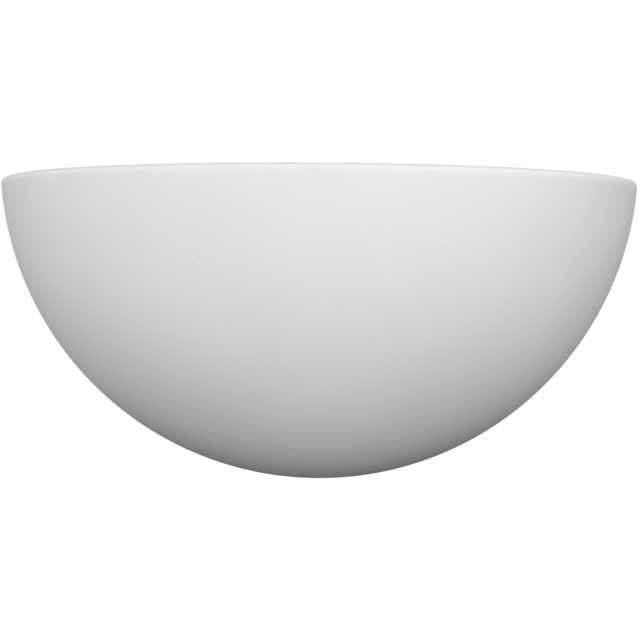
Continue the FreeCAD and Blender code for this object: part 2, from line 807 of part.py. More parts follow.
def make_block_metal():
    """Brass inserts with their clamping screws, and the two screws that fix the moulding."""
    inserts, screws, fixings = [], [], []
    screw_length = "place.block_front - size.pole_screw_sink - place.pole_axis - size.lead_radius"
    for index in range(3):
        across = f"place.block_across + {index - 1} * size.pole_pitch"
        insert = new_body(f"insert_{index + 1}", across=across, depth="place.pole_axis")
        tube = new_sketch(insert, "tube", "XY_Plane")
        draw_circles(tube, [("0", "0", "size.insert_radius"), ("0", "0", "size.insert_bore_radius")])
        pad(tube, "size.insert_length", symmetric=True)
        threads = new_sketch(insert, "threads")
        draw_circles(threads, [
            ("0", "size.tower_offset", "size.pole_screw_radius + size.fit_gap"),
            ("0", "-size.tower_offset", "size.pole_screw_radius + size.fit_gap"),
        ])
        pocket(threads, "2 * size.insert_radius", reverse=True)
        inserts.append(insert)
        for name, side in (("upper", ""), ("lower", "-")):
            screws.append(slotted_screw(
                f"{name}_pole_screw_{index + 1}", "size.pole_screw_radius", "size.pole_screw_head_radius",
                "size.pole_screw_head", f"{screw_length} - size.pole_screw_head",
                across, "place.pole_axis + size.lead_radius", f"{side}size.tower_offset"))
    for index, side in enumerate(("-", "+")):
        fixings.append(slotted_screw(
            f"block_screw_{index + 1}", "size.block_screw_radius", "size.block_screw_head_radius",
            "size.block_screw_head", "place.web_front", f"place.block_across {side} size.pole_pitch / 2",
            "0", "0"))
    group("terminal_inserts", inserts)
    group("terminal_screws", screws)
    group("block_screws", fixings)


def slotted_screw(label, radius, head_radius, head, shank, across, depth, height):
    """Cheese head screw along Y, from its tip at this place forward to a slotted head."""
    body = turned(label, "Y", [
        ("0", "0"),
        (radius, "0"),
        (radius, shank),
        (head_radius, shank),
        (head_radius, f"({shank}) + {head}"),
        ("0", f"({shank}) + {head}"),
    ], across, depth, height)
    groove = new_sketch(body, "slot", lift=f"({shank}) + {head}")
    trace(groove, rectangle(f"-1.2 * {head_radius}", f"1.2 * {head_radius}",
                            "-size.screw_slot_width / 2", "size.screw_slot_width / 2"))
    pocket(groove, "size.screw_slot_depth")
    return body


# ---------------------------------------------------------------- lampholder


def make_nipple():
    """Hollow threaded tube through the shelf, with its toothed washer and locknut below."""
    bore = "size.nipple_radius + size.fit_gap"
    keep(turned("holder_nipple", "Z", rectangle(
        "size.nipple_bore_radius", "size.nipple_radius", "place.nipple_end", "place.nipple_top"),
        depth="size.holder_reach"))
    make_toothed_washer("nipple_washer", "Z", "size.nipple_washer_radius", bore,
                        "size.nipple_washer_thickness", 16, depth="size.holder_reach",
                        height="place.shelf_bottom - size.nipple_washer_thickness")
    make_hex_nut("nipple_locknut", "Z", "size.locknut_flats", bore, "size.locknut_height",
                 depth="size.holder_reach",
                 height="place.shelf_bottom - size.nipple_washer_thickness")


def make_holder_cap():
    """Moulded cup screwed on the nipple, with the grub screw that locks it."""
    bore = "size.nipple_radius + size.fit_gap"
    body = turned("holder_cap", "Z", [
        (bore, "place.shelf_top"),
        ("size.holder_radius - size.cap_chamfer", "place.shelf_top"),
        ("size.holder_radius", "place.shelf_top + size.cap_chamfer"),
        ("size.holder_radius", "place.cap_top"),
        ("place.cap_bore_radius", "place.cap_top"),
        ("place.cap_bore_radius", "place.nipple_top"),
        (bore, "place.nipple_top"),
    ], depth="size.holder_reach")
    grub_height = "place.shelf_top + size.cap_floor / 2"
    grub_hole = new_sketch(body, "grub_hole")
    draw_circles(grub_hole, [("0", grub_height, "size.grub_screw_radius + size.fit_gap")])
    pocket(grub_hole, "1.2 * size.holder_radius", reverse=True)
    keep(body)

    grub = turned("cap_grub_screw", "Y", [
        ("0", "0"),
        ("size.grub_screw_radius", "0"),
        ("size.grub_screw_radius", "size.grub_screw_length"),
        ("0", "size.grub_screw_length"),
    ], depth=f"size.holder_reach + {bore}", height=grub_height)
    groove = new_sketch(grub, "slot", lift="size.grub_screw_length")
    trace(groove, rectangle("-size.holder_radius", "size.holder_radius",
                            "-size.screw_slot_width / 2", "size.screw_slot_width / 2"))
    pocket(groove, "size.screw_slot_depth")
    keep(grub)


def make_holder_skirt():
    """Moulded outer shell, screwed into the cap by its lower spigot."""
    keep(turned("holder_skirt", "Z", [
        ("place.spigot_bore_radius", "place.cap_top - size.skirt_spigot"),
        ("place.spigot_radius", "place.cap_top - size.skirt_spigot"),
        ("place.spigot_radius", "place.cap_top"),
        ("size.holder_radius", "place.cap_top"),
        ("size.holder_radius", "place.holder_top - size.cap_chamfer"),
        ("size.holder_radius - size.cap_chamfer", "place.holder_top"),
        ("size.skirt_mouth_radius", "place.holder_top"),
        ("size.skirt_mouth_radius", "place.holder_top - size.skirt_top"),
        ("place.skirt_bore_radius", "place.holder_top - size.skirt_top"),
        ("place.skirt_bore_radius", "place.carrier_top + size.skirt_step"),
        ("place.spigot_bore_radius - size.skirt_step_reach", "place.carrier_top + size.skirt_step"),
        ("place.spigot_bore_radius - size.skirt_step_reach", "place.carrier_top"),
        ("place.spigot_bore_radius", "place.carrier_top"),
    ], depth="size.holder_reach"))


def make_holder_contacts():
    """Contact carrier with its thread sleeve, centre contact, terminals and their screws."""
    collar_bore = "place.sleeve_radius + size.fit_gap"
    stem_bore = "size.contact_stem_radius + size.fit_gap"
    keep(turned("holder_insert", "Z", [
        (stem_bore, "place.carrier_bottom"),
        ("place.spigot_bore_radius - size.fit_gap", "place.carrier_bottom"),
        ("place.spigot_bore_radius - size.fit_gap", "place.carrier_top"),
        ("size.carrier_collar_radius", "place.carrier_top"),
        ("size.carrier_collar_radius", "place.carrier_top + size.carrier_collar_height"),
        (collar_bore, "place.carrier_top + size.carrier_collar_height"),
        (collar_bore, "place.carrier_top"),
        (stem_bore, "place.carrier_top"),
    ], depth="size.holder_reach"))
    keep(turned("thread_sleeve", "Z", rectangle(
        "size.sleeve_bore_radius", "place.sleeve_radius", "place.carrier_top",
        "place.holder_top - size.sleeve_below_top"), depth="size.holder_reach"))
    keep(turned("centre_contact", "Z", [
        ("0", "place.carrier_bottom - size.contact_tail"),
        ("size.contact_stem_radius", "place.carrier_bottom - size.contact_tail"),
        ("size.contact_stem_radius", "place.carrier_top"),
        ("size.contact_radius", "place.carrier_top"),
        ("size.contact_radius / 2", "place.carrier_top + size.contact_height"),
        ("0", "place.carrier_top + size.contact_height"),
    ], depth="size.holder_reach"))

    terminals, screws = [], []
    for name, side in (("left", "-"), ("right", "")):
        across = f"{side}size.holder_terminal_across"
        terminal = new_body(f"holder_terminal_{name}", across, "size.holder_reach", "place.carrier_bottom")
        block = new_sketch(terminal, "block")
        trace(block, rectangle("-size.holder_terminal_width / 2", "size.holder_terminal_width / 2",
                               "-size.holder_terminal_height", "0"))
        pad(block, "size.holder_terminal_depth", symmetric=True)
        wire = new_sketch(terminal, "wire_hole", "XY_Plane", lift="-size.holder_terminal_height")
        draw_circles(wire, [("0", "0", "size.lead_radius + size.fit_gap")])
        pocket(wire, "size.holder_wire_depth", reverse=True)
        threads = new_sketch(terminal, "screw_hole")
        draw_circles(threads, [("0", "-size.holder_screw_drop", "size.holder_screw_radius + size.fit_gap")])
        pocket(threads, "size.holder_terminal_depth", reverse=True)
        terminals.append(terminal)
        screws.append(slotted_screw(
            f"holder_terminal_screw_{name}", "size.holder_screw_radius", "size.holder_screw_head_radius",
            "size.holder_screw_head", "size.holder_terminal_depth / 2 - size.lead_radius", across,
            "size.holder_reach + size.lead_radius", "place.carrier_bottom - size.holder_screw_drop"))
    group("holder_terminals", terminals)
    group("holder_terminal_screws", screws)


# ---------------------------------------------------------------- leads and their clip

def holder_run(side):
    """First points of a lead: out of the holder's terminal, down the nipple and below the shelf."""
    terminal = f"{side} * size.holder_terminal_across"
    bore = f"{side} * size.lead_in_nipple"
    hole = "place.carrier_bottom - size.holder_terminal_height"
    return [
        (terminal, "size.holder_reach", f"{hole} + size.holder_wire_depth - size.lead_end_gap"),
        (terminal, "size.holder_reach", f"{hole} - 2 * size.lead_radius"),
        (bore, "size.holder_reach", "place.nipple_top - 4 * size.lead_radius"),
        (bore, "size.holder_reach", "place.nipple_end - size.lead_droop"),
        (f"({bore}) + 6", "size.holder_reach - 18", "place.nipple_end - size.lead_droop - 0.5"),
    ]


# Each route runs from the lampholder, or from the ring terminal, to its pole of the terminal block.
# Its points are (across, depth, height).
LEAD_ROUTES = {
    "lead_live": holder_run("1") + [
        ("size.clip_second_lead", "size.clip_lead_depth", "place.shelf_bottom - 11.5"),
        ("size.clip_second_lead", "size.clip_lead_depth", "-37"),
        ("46", "10.5", "-34"),
        ("place.block_across + size.pole_pitch", "place.pole_axis", "-27"),
        ("place.block_across + size.pole_pitch", "place.pole_axis", "-1.5"),
    ],
    "lead_neutral": holder_run("-1") + [
        ("size.clip_first_lead", "size.clip_lead_depth", "place.shelf_bottom - 11.5"),
        ("size.clip_first_lead", "size.clip_lead_depth", "-31"),
        ("42", "10", "-26"),
        ("place.block_across", "place.pole_axis", "-20"),
        ("place.block_across", "place.pole_axis", "-1.5"),
    ],
    "lead_earth": [
        ("-24.25", "place.barrel_axis", "-23.18"),
        ("-16.98", "place.barrel_axis", "-17.07"),
        ("0", "5", "-16.2"),
        ("18", "5.5", "-18.5"),
        ("36", "6.5", "-19.5"),
        ("place.block_across - size.pole_pitch", "place.pole_axis", "-18.5"),
        ("place.block_across - size.pole_pitch", "place.pole_axis", "-1.5"),
    ],
}


def route(label, points):
    """Straight runs joined by tangent arcs, each arc as large as its two runs allow."""
    edges, radii = [], []
    start = points[0]
    for before, here, after in zip(points, points[1:], points[2:]):
        back = (before - here).normalize()
        ahead = (after - here).normalize()
        turn = math.pi - back.getAngle(ahead)
        tangent = 0.45 * min((before - here).Length, (after - here).Length)
        radius = tangent / math.tan(turn / 2)
        first = here + back * tangent
        last = here + ahead * tangent
        inward = (back + ahead).normalize()
        middle = here + inward * (radius / math.cos(turn / 2) - radius)
        edges.append(Part.LineSegment(start, first).toShape())
        edges.append(Part.Arc(first, middle, last).toShape())
        radii.append(radius)
        start = last
    edges.append(Part.LineSegment(start, points[-1]).toShape())
    print(f"{label}: arc radii " + ", ".join(f"{radius:.1f}" for radius in radii))
    return Part.Wire(edges)


def make_leads():
    """Insulated leads as plain round tubes along their routes."""
    radius = value("size.lead_radius")
    for label, places in LEAD_ROUTES.items():
        points = [V(value(across), -value(depth), value(height)) for across, depth, height in places]
        path = route(label, points)
        section = Part.Wire(Part.Circle(points[0], points[1] - points[0], radius).toShape())
        feature = doc.addObject("Part::Feature", label)
        feature.Label = label
        feature.Shape = path.makePipeShell([section], True, False)
        feature.Placement = FreeCAD.Placement()
        expected = math.pi * radius ** 2 * path.Length
        print(f"{label}: length {path.Length:.1f}, volume {feature.Shape.Volume:.1f} of {expected:.1f}")
        keep(feature)


def make_lead_clip():
    """Nylon clip that grips the edge of the arm's leg and holds two leads beside it."""
    body = new_body("lead_clip", height="-size.clip_drop")
    plan = new_sketch(body, "plan", "XY_Plane")
    edge = "size.arm_width / 2"
    inner = f"{edge} - size.clip_jaw"
    groove = f"{edge} + size.fit_gap"
    back = "-(size.sheet - 1.1)"
    right = "size.clip_second_lead + size.lead_radius + size.clip_wall"
    left = "size.clip_first_lead - size.lead_radius - size.clip_wall"
    front = "-(size.clip_lead_depth + size.lead_radius + size.clip_wall)"
    jaw_front = "-(place.arm_front + size.clip_wall)"
    trace(plan, [
        (inner, back),
        (right, back),
        (right, front),
        (left, front),
        (left, jaw_front),
        (inner, jaw_front),
        (inner, "-(place.arm_front + size.fit_gap)"),
        (groove, "-(place.arm_front + size.fit_gap)"),
        (groove, "-(size.sheet - size.fit_gap)"),
        (inner, "-(size.sheet - size.fit_gap)"),
    ])
    pad(plan, "size.clip_height", symmetric=True)
    for name in ("first", "second"):
        lead = f"size.clip_{name}_lead"
        channel = new_sketch(body, f"{name}_channel", "XY_Plane")
        draw_circles(channel, [(lead, "-size.clip_lead_depth", "size.lead_radius + size.fit_gap")])
        pocket(channel)
        mouth = new_sketch(body, f"{name}_mouth", "XY_Plane")
        trace(mouth, rectangle(f"{lead} - size.clip_mouth / 2", f"{lead} + size.clip_mouth / 2",
                               f"1.2 * ({front})", "-size.clip_lead_depth"))
        pocket(mouth)
    keep(body)


# ---------------------------------------------------------------- lamp


def make_lamp():
    """Small globe lamp: contact, insulator, screw cap, body, its two boards and the globe."""
    at_holder = {"depth": "size.holder_reach"}
    contact_top = "(place.lamp_tip + size.lamp_contact_height)"
    keep(turned("lamp_contact", "Z", [
        ("0", "place.lamp_tip"),
        ("0.5 * size.lamp_contact_radius", "place.lamp_tip"),
        ("size.lamp_contact_radius", "place.lamp_tip + size.lamp_contact_height / 2"),
        ("size.lamp_contact_radius", contact_top),
        ("0", contact_top),
    ], **at_holder))
    shoulder = "(size.lamp_cap_radius - size.lamp_cap_wall)"
    keep(turned("lamp_insulator", "Z", [
        ("0", contact_top),
        ("1.15 * size.lamp_contact_radius", contact_top),
        (shoulder, f"{contact_top} + 0.7 * size.lamp_insulator_height"),
        (shoulder, "place.lamp_cap_end"),
        ("0", "place.lamp_cap_end"),
    ], **at_holder))
    keep(turned("lamp_screw_cap", "Z", [
        ("0.85 * size.lamp_cap_radius", "place.lamp_cap_end"),
        (shoulder, "place.lamp_cap_end"),
        ("size.lamp_cap_radius", "place.lamp_cap_end + size.lamp_cap_wall"),
        ("size.lamp_cap_radius", "place.lamp_neck - size.lamp_collar_height"),
        ("size.lamp_collar_radius", "place.lamp_neck - size.lamp_collar_height"),
        ("size.lamp_collar_radius", "place.lamp_neck"),
        (shoulder, "place.lamp_neck"),
        (shoulder, "place.lamp_cap_end + 2 * size.lamp_cap_wall"),
        ("0.85 * size.lamp_cap_radius", "place.lamp_cap_end + 2 * size.lamp_cap_wall"),
    ], **at_holder))
    floor_top = "(place.lamp_neck + size.lamp_body_wall)"
    keep(turned("lamp_body", "Z", [
        (shoulder, "place.lamp_neck"),
        ("size.lamp_body_base_radius", "place.lamp_neck"),
        ("place.globe_base_radius", "place.globe_base"),
        ("place.globe_base_radius - size.lamp_body_wall", "place.globe_base"),
        ("size.lamp_body_base_radius - size.lamp_body_wall / 2", floor_top),
        (shoulder, floor_top),
    ], **at_holder))

    driver = new_body("lamp_driver_board", **at_holder)
    outline = new_sketch(driver, "outline")
    waist = f"({floor_top} + size.lamp_body_wall)"
    top = "(place.globe_base - 2 * size.lamp_body_wall)"
    bottom = "(place.lamp_cap_end + 3 * size.lamp_cap_wall)"
    trace(outline, [
        ("-size.driver_half_width", bottom),
        ("size.driver_half_width", bottom),
        ("size.driver_half_width", waist),
        ("size.driver_upper_half_width", waist),
        ("size.driver_upper_half_width", top),
        ("-size.driver_upper_half_width", top),
        ("-size.driver_upper_half_width", waist),
        ("-size.driver_half_width", waist),
    ])
    pad(outline, "size.board_thickness", symmetric=True)
    keep(driver)

    led_radius = "place.globe_base_radius - size.lamp_body_wall - size.led_board_gap - size.board_thickness"
    keep(turned("lamp_led_board", "Z", rectangle(
        "0", led_radius, "place.globe_base - size.board_thickness", "place.globe_base"), **at_holder))
    keep(turned("lamp_globe", "Z", [
        ("0", "place.lamp_centre + place.globe_inner_radius"),
        ("place.globe_base_inner_radius", "place.globe_base", "0", "place.lamp_centre"),
        ("place.globe_base_radius", "place.globe_base"),
        ("0", "place.lamp_centre + size.globe_radius", "0", "place.lamp_centre"),
    ], **at_holder))


# ---------------------------------------------------------------- build, check and write

make_bowl()
make_bracket()
make_studs()
make_bowl_fixings()
make_arm()
make_arm_rivets()
make_grommet()
make_earth_point()
make_terminal_block()
make_block_metal()
make_nipple()
make_holder_cap()
make_holder_skirt()
make_holder_contacts()
make_leads()
make_lead_clip()
make_lamp()
doc.recompute()

for item in doc.Objects:
    if "Invalid" in item.State or "Error" in item.State:
        raise RuntimeError(f"{item.Name} failed: {item.State}")
for piece in subparts:
    if piece.Shape.isNull() or not piece.Shape.isValid():
        raise RuntimeError(f"{piece.Label} has no valid shape")
    piece.Shape.exportStep(f"parts/{piece.Label}.step")
print(f"{len(subparts)} sub-parts written")
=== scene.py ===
# %% [markdown]
# # A ceramic uplighter, dressed in Blender
# The solids of this wall light come from its construction model and stay where they are. This lesson
# gives them their looks: a bowl of matt white ceramic in front, and behind it the bracket, lampholder,
# leads and lamp. Lengths are in metres, the wall is the plane y = 0, the light stands out towards -Y and
# +Z is up.

import functools
import math

import bmesh
import bpy
from mathutils import Euler, Matrix, Vector


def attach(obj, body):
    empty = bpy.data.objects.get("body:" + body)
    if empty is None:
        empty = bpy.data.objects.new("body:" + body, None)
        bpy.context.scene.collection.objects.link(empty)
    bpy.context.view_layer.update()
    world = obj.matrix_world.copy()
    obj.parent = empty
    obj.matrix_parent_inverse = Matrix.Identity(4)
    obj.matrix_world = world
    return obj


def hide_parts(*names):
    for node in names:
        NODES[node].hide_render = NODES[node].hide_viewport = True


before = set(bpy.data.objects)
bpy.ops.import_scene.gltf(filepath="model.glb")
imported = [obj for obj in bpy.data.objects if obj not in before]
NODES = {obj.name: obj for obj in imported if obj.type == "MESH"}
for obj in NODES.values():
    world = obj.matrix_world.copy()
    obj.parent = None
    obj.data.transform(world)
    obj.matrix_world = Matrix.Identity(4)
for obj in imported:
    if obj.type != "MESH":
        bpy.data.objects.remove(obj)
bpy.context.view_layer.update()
MM = 0.001

# %% [markdown]
# ## The camera
# The light was seen square on, from about a metre and a half away and a little below its rim. That place
# was worked out from the outline of the bowl: the front of a rim above the eye looks higher than its
# ends, and how much higher says how far below the rim the eye is.

# %% Set the camera
camera_data = bpy.data.cameras.new("eye")
camera_data.sensor_width = 36.0
camera_data.lens = 172.54
camera_data.clip_start = 0.05
camera = bpy.data.objects.new("eye", camera_data)
camera.location = (0.0046, -1.5, -0.0368)
PITCH_UP, TURN, ROLL = 0.0093, -0.0025, 0.0067
looking = Euler((math.pi / 2 + PITCH_UP, 0.0, -TURN)).to_matrix()
camera.rotation_euler = (looking @ Euler((0.0, 0.0, ROLL)).to_matrix()).to_euler()
bpy.context.scene.collection.objects.link(camera)
bpy.context.scene.camera = camera
bpy.context.scene.view_settings.view_transform = "Standard"
print("camera", camera.location[:], "lens", camera_data.lens)

# %% [markdown]
# ## Nodes written as sums
# Both materials and Geometry Nodes are made of nodes, and both may use Math nodes. A `Term` stands for
# one number in a tree, and adding or multiplying terms adds Math nodes, so a rule can be written here the
# way it would be on paper. `add_node` is the plain way to add any other node.


# %% Helpers for node trees
def add_node(tree, kind, inputs=None, **settings):
    """Add a node, set its options, and link or fill its inputs. A node stands for its first output."""
    node = tree.nodes.new(kind)
    node.location = (180 * (len(tree.nodes) % 12), -200 * (len(tree.nodes) // 12))
    for name, setting in settings.items():
        setattr(node, name, setting)
    for name, source in (inputs or {}).items():
        source = getattr(source, "socket", source)
        if isinstance(source, bpy.types.Node):
            source = source.outputs[0]
        if isinstance(source, bpy.types.NodeSocket):
            tree.links.new(source, node.inputs[name])
        else:
            node.inputs[name].default_value = source
    return node


class Term:
    """One number inside a node tree."""

    def __init__(self, tree, socket):
        self.tree = tree
        self.socket = socket

    def math(self, operation, *others):
        inputs = dict(enumerate((self, *others)))
        node = add_node(self.tree, "ShaderNodeMath", inputs, operation=operation)
        return Term(self.tree, node.outputs[0])

    def __add__(self, other):
        return self.math("ADD", other)

    def __sub__(self, other):
        return self.math("SUBTRACT", other)

    def __mul__(self, other):
        return self.math("MULTIPLY", other)

    def __truediv__(self, other):
        return self.math("DIVIDE", other)

    def __neg__(self):
        return self.math("MULTIPLY", -1.0)

    def __abs__(self):
        return self.math("ABSOLUTE")

    def __rsub__(self, other):
        return -self + other


def larger(first, second):
    """The larger of two numbers, of which the first is a term."""
    return first.math("MAXIMUM", second)


def smaller(first, second):
    """The smaller of two numbers, of which the first is a term."""
    return first.math("MINIMUM", second)


def vector(tree, x=0.0, y=0.0, z=0.0):
    return add_node(tree, "ShaderNodeCombineXYZ", {0: x, 1: y, 2: z})


def length_of(*sides):
    """Length of a vector from its sides, by Pythagoras."""
    total = sides[0] * sides[0]
    for side in sides[1:]:
        total = total + side * side
    return total.math("SQRT")


def place_terms(tree):
    """The x, y and z of each point, for Geometry Nodes."""
    parts = add_node(tree, "ShaderNodeSeparateXYZ", {0: add_node(tree, "GeometryNodeInputPosition")})
    return [Term(tree, socket) for socket in parts.outputs]


# %% [markdown]
# ## Geometry Nodes trees
# A tree is made once with named inputs, run on an empty object, and its result is kept as a plain mesh.
# The named inputs show up on the modifier, so a size can be tried by hand before the result is kept.


# %% Helpers for Geometry Nodes
def start_tree(name, sizes):
    """Start a tree whose inputs are the named sizes. Gives also what adds its nodes, and its inputs."""
    tree = bpy.data.node_groups.new(name, "GeometryNodeTree")
    tree.is_modifier = True
    tree.interface.new_socket("Geometry", in_out="INPUT", socket_type="NodeSocketGeometry")
    for label, amount in sizes.items():
        kind = "NodeSocketInt" if isinstance(amount, int) else "NodeSocketFloat"
        tree.interface.new_socket(label, in_out="INPUT", socket_type=kind).default_value = amount
    tree.interface.new_socket("finish", in_out="INPUT", socket_type="NodeSocketMaterial")
    tree.interface.new_socket("Geometry", in_out="OUTPUT", socket_type="NodeSocketGeometry")
    entry = tree.nodes.new("NodeGroupInput")
    terms = {label: Term(tree, entry.outputs[label]) for label in sizes}
    return tree, functools.partial(add_node, tree), entry, terms


def end_tree(tree, entry, geometry, smooth=True):
    """Realize instances, shade, give the material and lead the result out."""
    real = add_node(tree, "GeometryNodeRealizeInstances", {"Geometry": geometry})
    shaded = add_node(tree, "GeometryNodeSetShadeSmooth",
                      {"Geometry": real, "Shade Smooth": smooth})
    painted = add_node(tree, "GeometryNodeSetMaterial",
                       {"Geometry": shaded, "Material": entry.outputs["finish"]})
    add_node(tree, "NodeGroupOutput", {"Geometry": painted})


# %% Helpers that keep what a tree makes
def new_piece(name, mesh=None):
    """An object at the origin that holds this mesh."""
    piece = bpy.data.objects.new(name, mesh or bpy.data.meshes.new(name))
    bpy.context.scene.collection.objects.link(piece)
    return piece


def keep_result(piece):
    """Replace the piece's mesh with what its modifiers make of it, and remove them."""
    graph = bpy.context.evaluated_depsgraph_get()
    result = bpy.data.meshes.new_from_object(piece.evaluated_get(graph))
    piece.modifiers.clear()
    piece.data = result
    result.name = piece.name


FINISHES = {}


def grow(name, tree, slot, mesh=None, **sizes):
    """Run a tree on a mesh, or on an empty one, and keep what it makes in this slot's finish."""
    piece = new_piece(name, mesh)
    finish = FINISHES[slot]
    sizes = {label.replace("_", " "): amount for label, amount in sizes.items()}
    modifier = piece.modifiers.new(tree.name, "NODES")
    modifier.node_group = tree
    for socket in tree.interface.items_tree:
        if socket.in_out == "INPUT" and socket.name in sizes:
            modifier[socket.identifier] = sizes[socket.name]
        if socket.in_out == "INPUT" and socket.name == "finish":
            modifier[socket.identifier] = finish
    keep_result(piece)
    piece.data.materials.clear()
    piece.data.materials.append(finish)
    piece.data.polygons.foreach_set("material_index", [0] * len(piece.data.polygons))
    print(name, len(piece.data.polygons), "faces")
    return piece


def settle(piece, body, node):
    """Let a finished piece ride on its body in place of the node it stands for."""
    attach(piece, body)
    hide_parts(node)


# %% [markdown]
# ## Finishes
# Each finish is a Principled shader with patterns on top. The patterns read Object coordinates, which are
# metres here, so a grain of a given size stays that size on every piece. Colour, roughness and bump each
# get their own pattern, because real surfaces vary in all three.


# %% A helper for finishes
class Finish:
    """A material in the making, kept under the name of its slot."""

    def __init__(self, name, colour, roughness, **sockets):
        self.material = bpy.data.materials.new(name)
        self.material.use_nodes = True
        FINISHES[name] = self.material
        self.tree = self.material.node_tree
        self.shader = self.tree.nodes["Principled BSDF"]
        self.shader.inputs["Base Color"].default_value = (*colour, 1.0)
        self.shader.inputs["Roughness"].default_value = roughness
        for label, amount in sockets.items():
            self.shader.inputs[label.replace("_", " ")].default_value = amount
        self.place = self.add("ShaderNodeTexCoord").outputs["Object"]
        self.last_bump = None
        print("finish", name)

    def add(self, kind, inputs=None, **settings):
        return add_node(self.tree, kind, inputs, **settings)

    def stretched(self, scale, turn=(0.0, 0.0, 0.0)):
        """Object coordinates stretched, for a pattern with a direction."""
        return self.add("ShaderNodeMapping", {"Vector": self.place, "Scale": scale, "Rotation": turn})

    def noise(self, size, detail=3.0, place=None):
        """Cloudy noise whose blobs are about this many metres across."""
        place = place or self.place
        node = self.add("ShaderNodeTexNoise", {"Vector": place, "Scale": 1.0 / size, "Detail": detail})
        return Term(self.tree, node.outputs[0])

    def cells(self, size):
        """Distance to scattered points about this many metres apart."""
        node = self.add("ShaderNodeTexVoronoi", {"Vector": self.place, "Scale": 1.0 / size})
        return Term(self.tree, node.outputs["Distance"])

    def place_along(self, axis):
        """How far along an axis of the object, in metres."""
        split = self.add("ShaderNodeSeparateXYZ", {0: self.place})
        return Term(self.tree, split.outputs[axis])

    def spread(self, term, low, high, to_low=0.0, to_high=1.0, smooth=False):
        """Map a number from one range to another, held at both ends."""
        node = self.add("ShaderNodeMapRange", {
            "Value": term, "From Min": low, "From Max": high, "To Min": to_low, "To Max": to_high},
            interpolation_type="SMOOTHSTEP" if smooth else "LINEAR")
        return Term(self.tree, node.outputs[0])

    def mix(self, factor, first, second):
        """Colour between two colours, each three numbers or a socket."""
        first, second = ((*tone, 1.0) if isinstance(tone, tuple) else tone for tone in (first, second))
        node = self.add("ShaderNodeMix", {"Factor": factor, 6: first, 7: second}, data_type="RGBA")
        return node.outputs[2]

    def paint(self, colour=None, roughness=None):
        for label, source in (("Base Color", colour), ("Roughness", roughness)):
            if source is not None:
                self.tree.links.new(getattr(source, "socket", source), self.shader.inputs[label])

    def bump(self, term, depth):
        """Raise the surface by this many metres where the term is 1. Bumps add up."""
        inputs = {"Height": term, "Distance": depth}
        if self.last_bump:
            inputs["Normal"] = self.last_bump
        self.last_bump = self.add("ShaderNodeBump", inputs).outputs[0]
        self.tree.links.new(self.last_bump, self.shader.inputs["Normal"])


# %% [markdown]
# ## Floor and light
# The light is soft, as in a plain studio. Sheets of light in front, level with the eye, give the fall
# from bright rim to grey underside, and one on each side and a little behind brightens the ends. Their
# strengths were found by rendering the bowl under each light alone and asking which sum of those pictures
# comes nearest to the tones wanted, because light adds up. The floor lies as far below as under a real
# wall light, glows faintly so that it stays pale, and throws no light back on the bowl, whose underside
# is dark.

# %% Make the floor
FLOOR_RADIUS, FLOOR_DROP, FLOOR_GLOW = 3.5, 1.7, 0.45
floor_mesh = bpy.data.meshes.new("studio_floor")
floor_shape = bmesh.new()
bmesh.ops.create_circle(floor_shape, cap_ends=True, segments=96, radius=FLOOR_RADIUS)
bmesh.ops.translate(floor_shape, verts=floor_shape.verts, vec=(0.0, 0.0, -FLOOR_DROP))
floor_shape.to_mesh(floor_mesh)
floor_shape.free()
floor = new_piece("studio_floor", floor_mesh)
pale = Finish("studio_paper", (0.80, 0.80, 0.79), 0.85,
              Emission_Color=(1.0, 1.0, 0.99, 1.0), Emission_Strength=FLOOR_GLOW)
pale.paint(colour=pale.mix(pale.noise(0.09), (0.79, 0.79, 0.78), (0.81, 0.81, 0.80)))
floor_mesh.materials.append(pale.material)
floor.visible_diffuse = False

# %% Light the studio
world = bpy.data.worlds.new("studio")
world.use_nodes = True
bpy.context.scene.world = world
sky = world.node_tree
sky.nodes.clear()
in_sky = functools.partial(add_node, sky)
FILL, MIRRORED = 0.04, 0.55
ray = in_sky("ShaderNodeLightPath")
fill = in_sky("ShaderNodeBackground", {"Color": (1, 1, 1, 1), "Strength": FILL})
mirrored = in_sky("ShaderNodeBackground", {"Color": (1, 1, 1, 1), "Strength": MIRRORED})
seen = in_sky("ShaderNodeBackground", {"Color": (1, 1, 1, 1), "Strength": 1.0})
around = in_sky("ShaderNodeMixShader", {0: ray.outputs["Is Glossy Ray"], 1: fill, 2: mirrored})
either = in_sky("ShaderNodeMixShader", {0: ray.outputs["Is Camera Ray"], 1: around, 2: seen})
in_sky("ShaderNodeOutputWorld", {"Surface": either})

# %% Hang the sheets of light
BOWL_MIDDLE = Vector((0.0, -0.08, -0.02))
LIGHTS = {
    "front_high": ((0.0, -2.4, 0.3), 1.2, 7.0),
    "front_level": ((0.0, -2.4, -0.05), 0.8, 41.5),
    "side_left": ((-2.0, 0.1, 0.7), 1.2, 10.0),
    "side_right": ((2.0, 0.1, 0.7), 1.2, 19.0),
    "back_left": ((-1.8, 0.8, 0.3), 1.2, 11.0),
    "overhead": ((0.0, -0.2, 2.2), 1.2, 14.0),
    "behind": ((0.3, 2.3, 0.5), 1.2, 14.0),
}
for name, (place, size, power) in LIGHTS.items():
    sheet = bpy.data.lights.new(name, "AREA")
    sheet.size = size
    sheet.energy = power
    light = bpy.data.objects.new(name, sheet)
    light.location = place
    light.rotation_euler = (BOWL_MIDDLE - Vector(place)).to_track_quat("-Z", "Y").to_euler()
    bpy.context.scene.collection.objects.link(light)
print("lights", ", ".join(LIGHTS))

# %% [markdown]
# ## The bowl
# The real bowl is cast in plaster and fired without glaze: a wall of one thickness, a softly rounded lip,
# a flat rim round its open back, and two lugs that the studs pass through. Every inside corner is filled
# a little, because slip can't form a sharp one. A signed distance field gives exactly that: each form is
# a rule that is negative inside, and rounded minimum and maximum join them with soft corners. The rim and
# the lugs are seated in the wall by a share of its thickness, so that their fillets don't swell the
# outside. The field fills a grid, and Volume to Mesh draws the surface where it is zero.

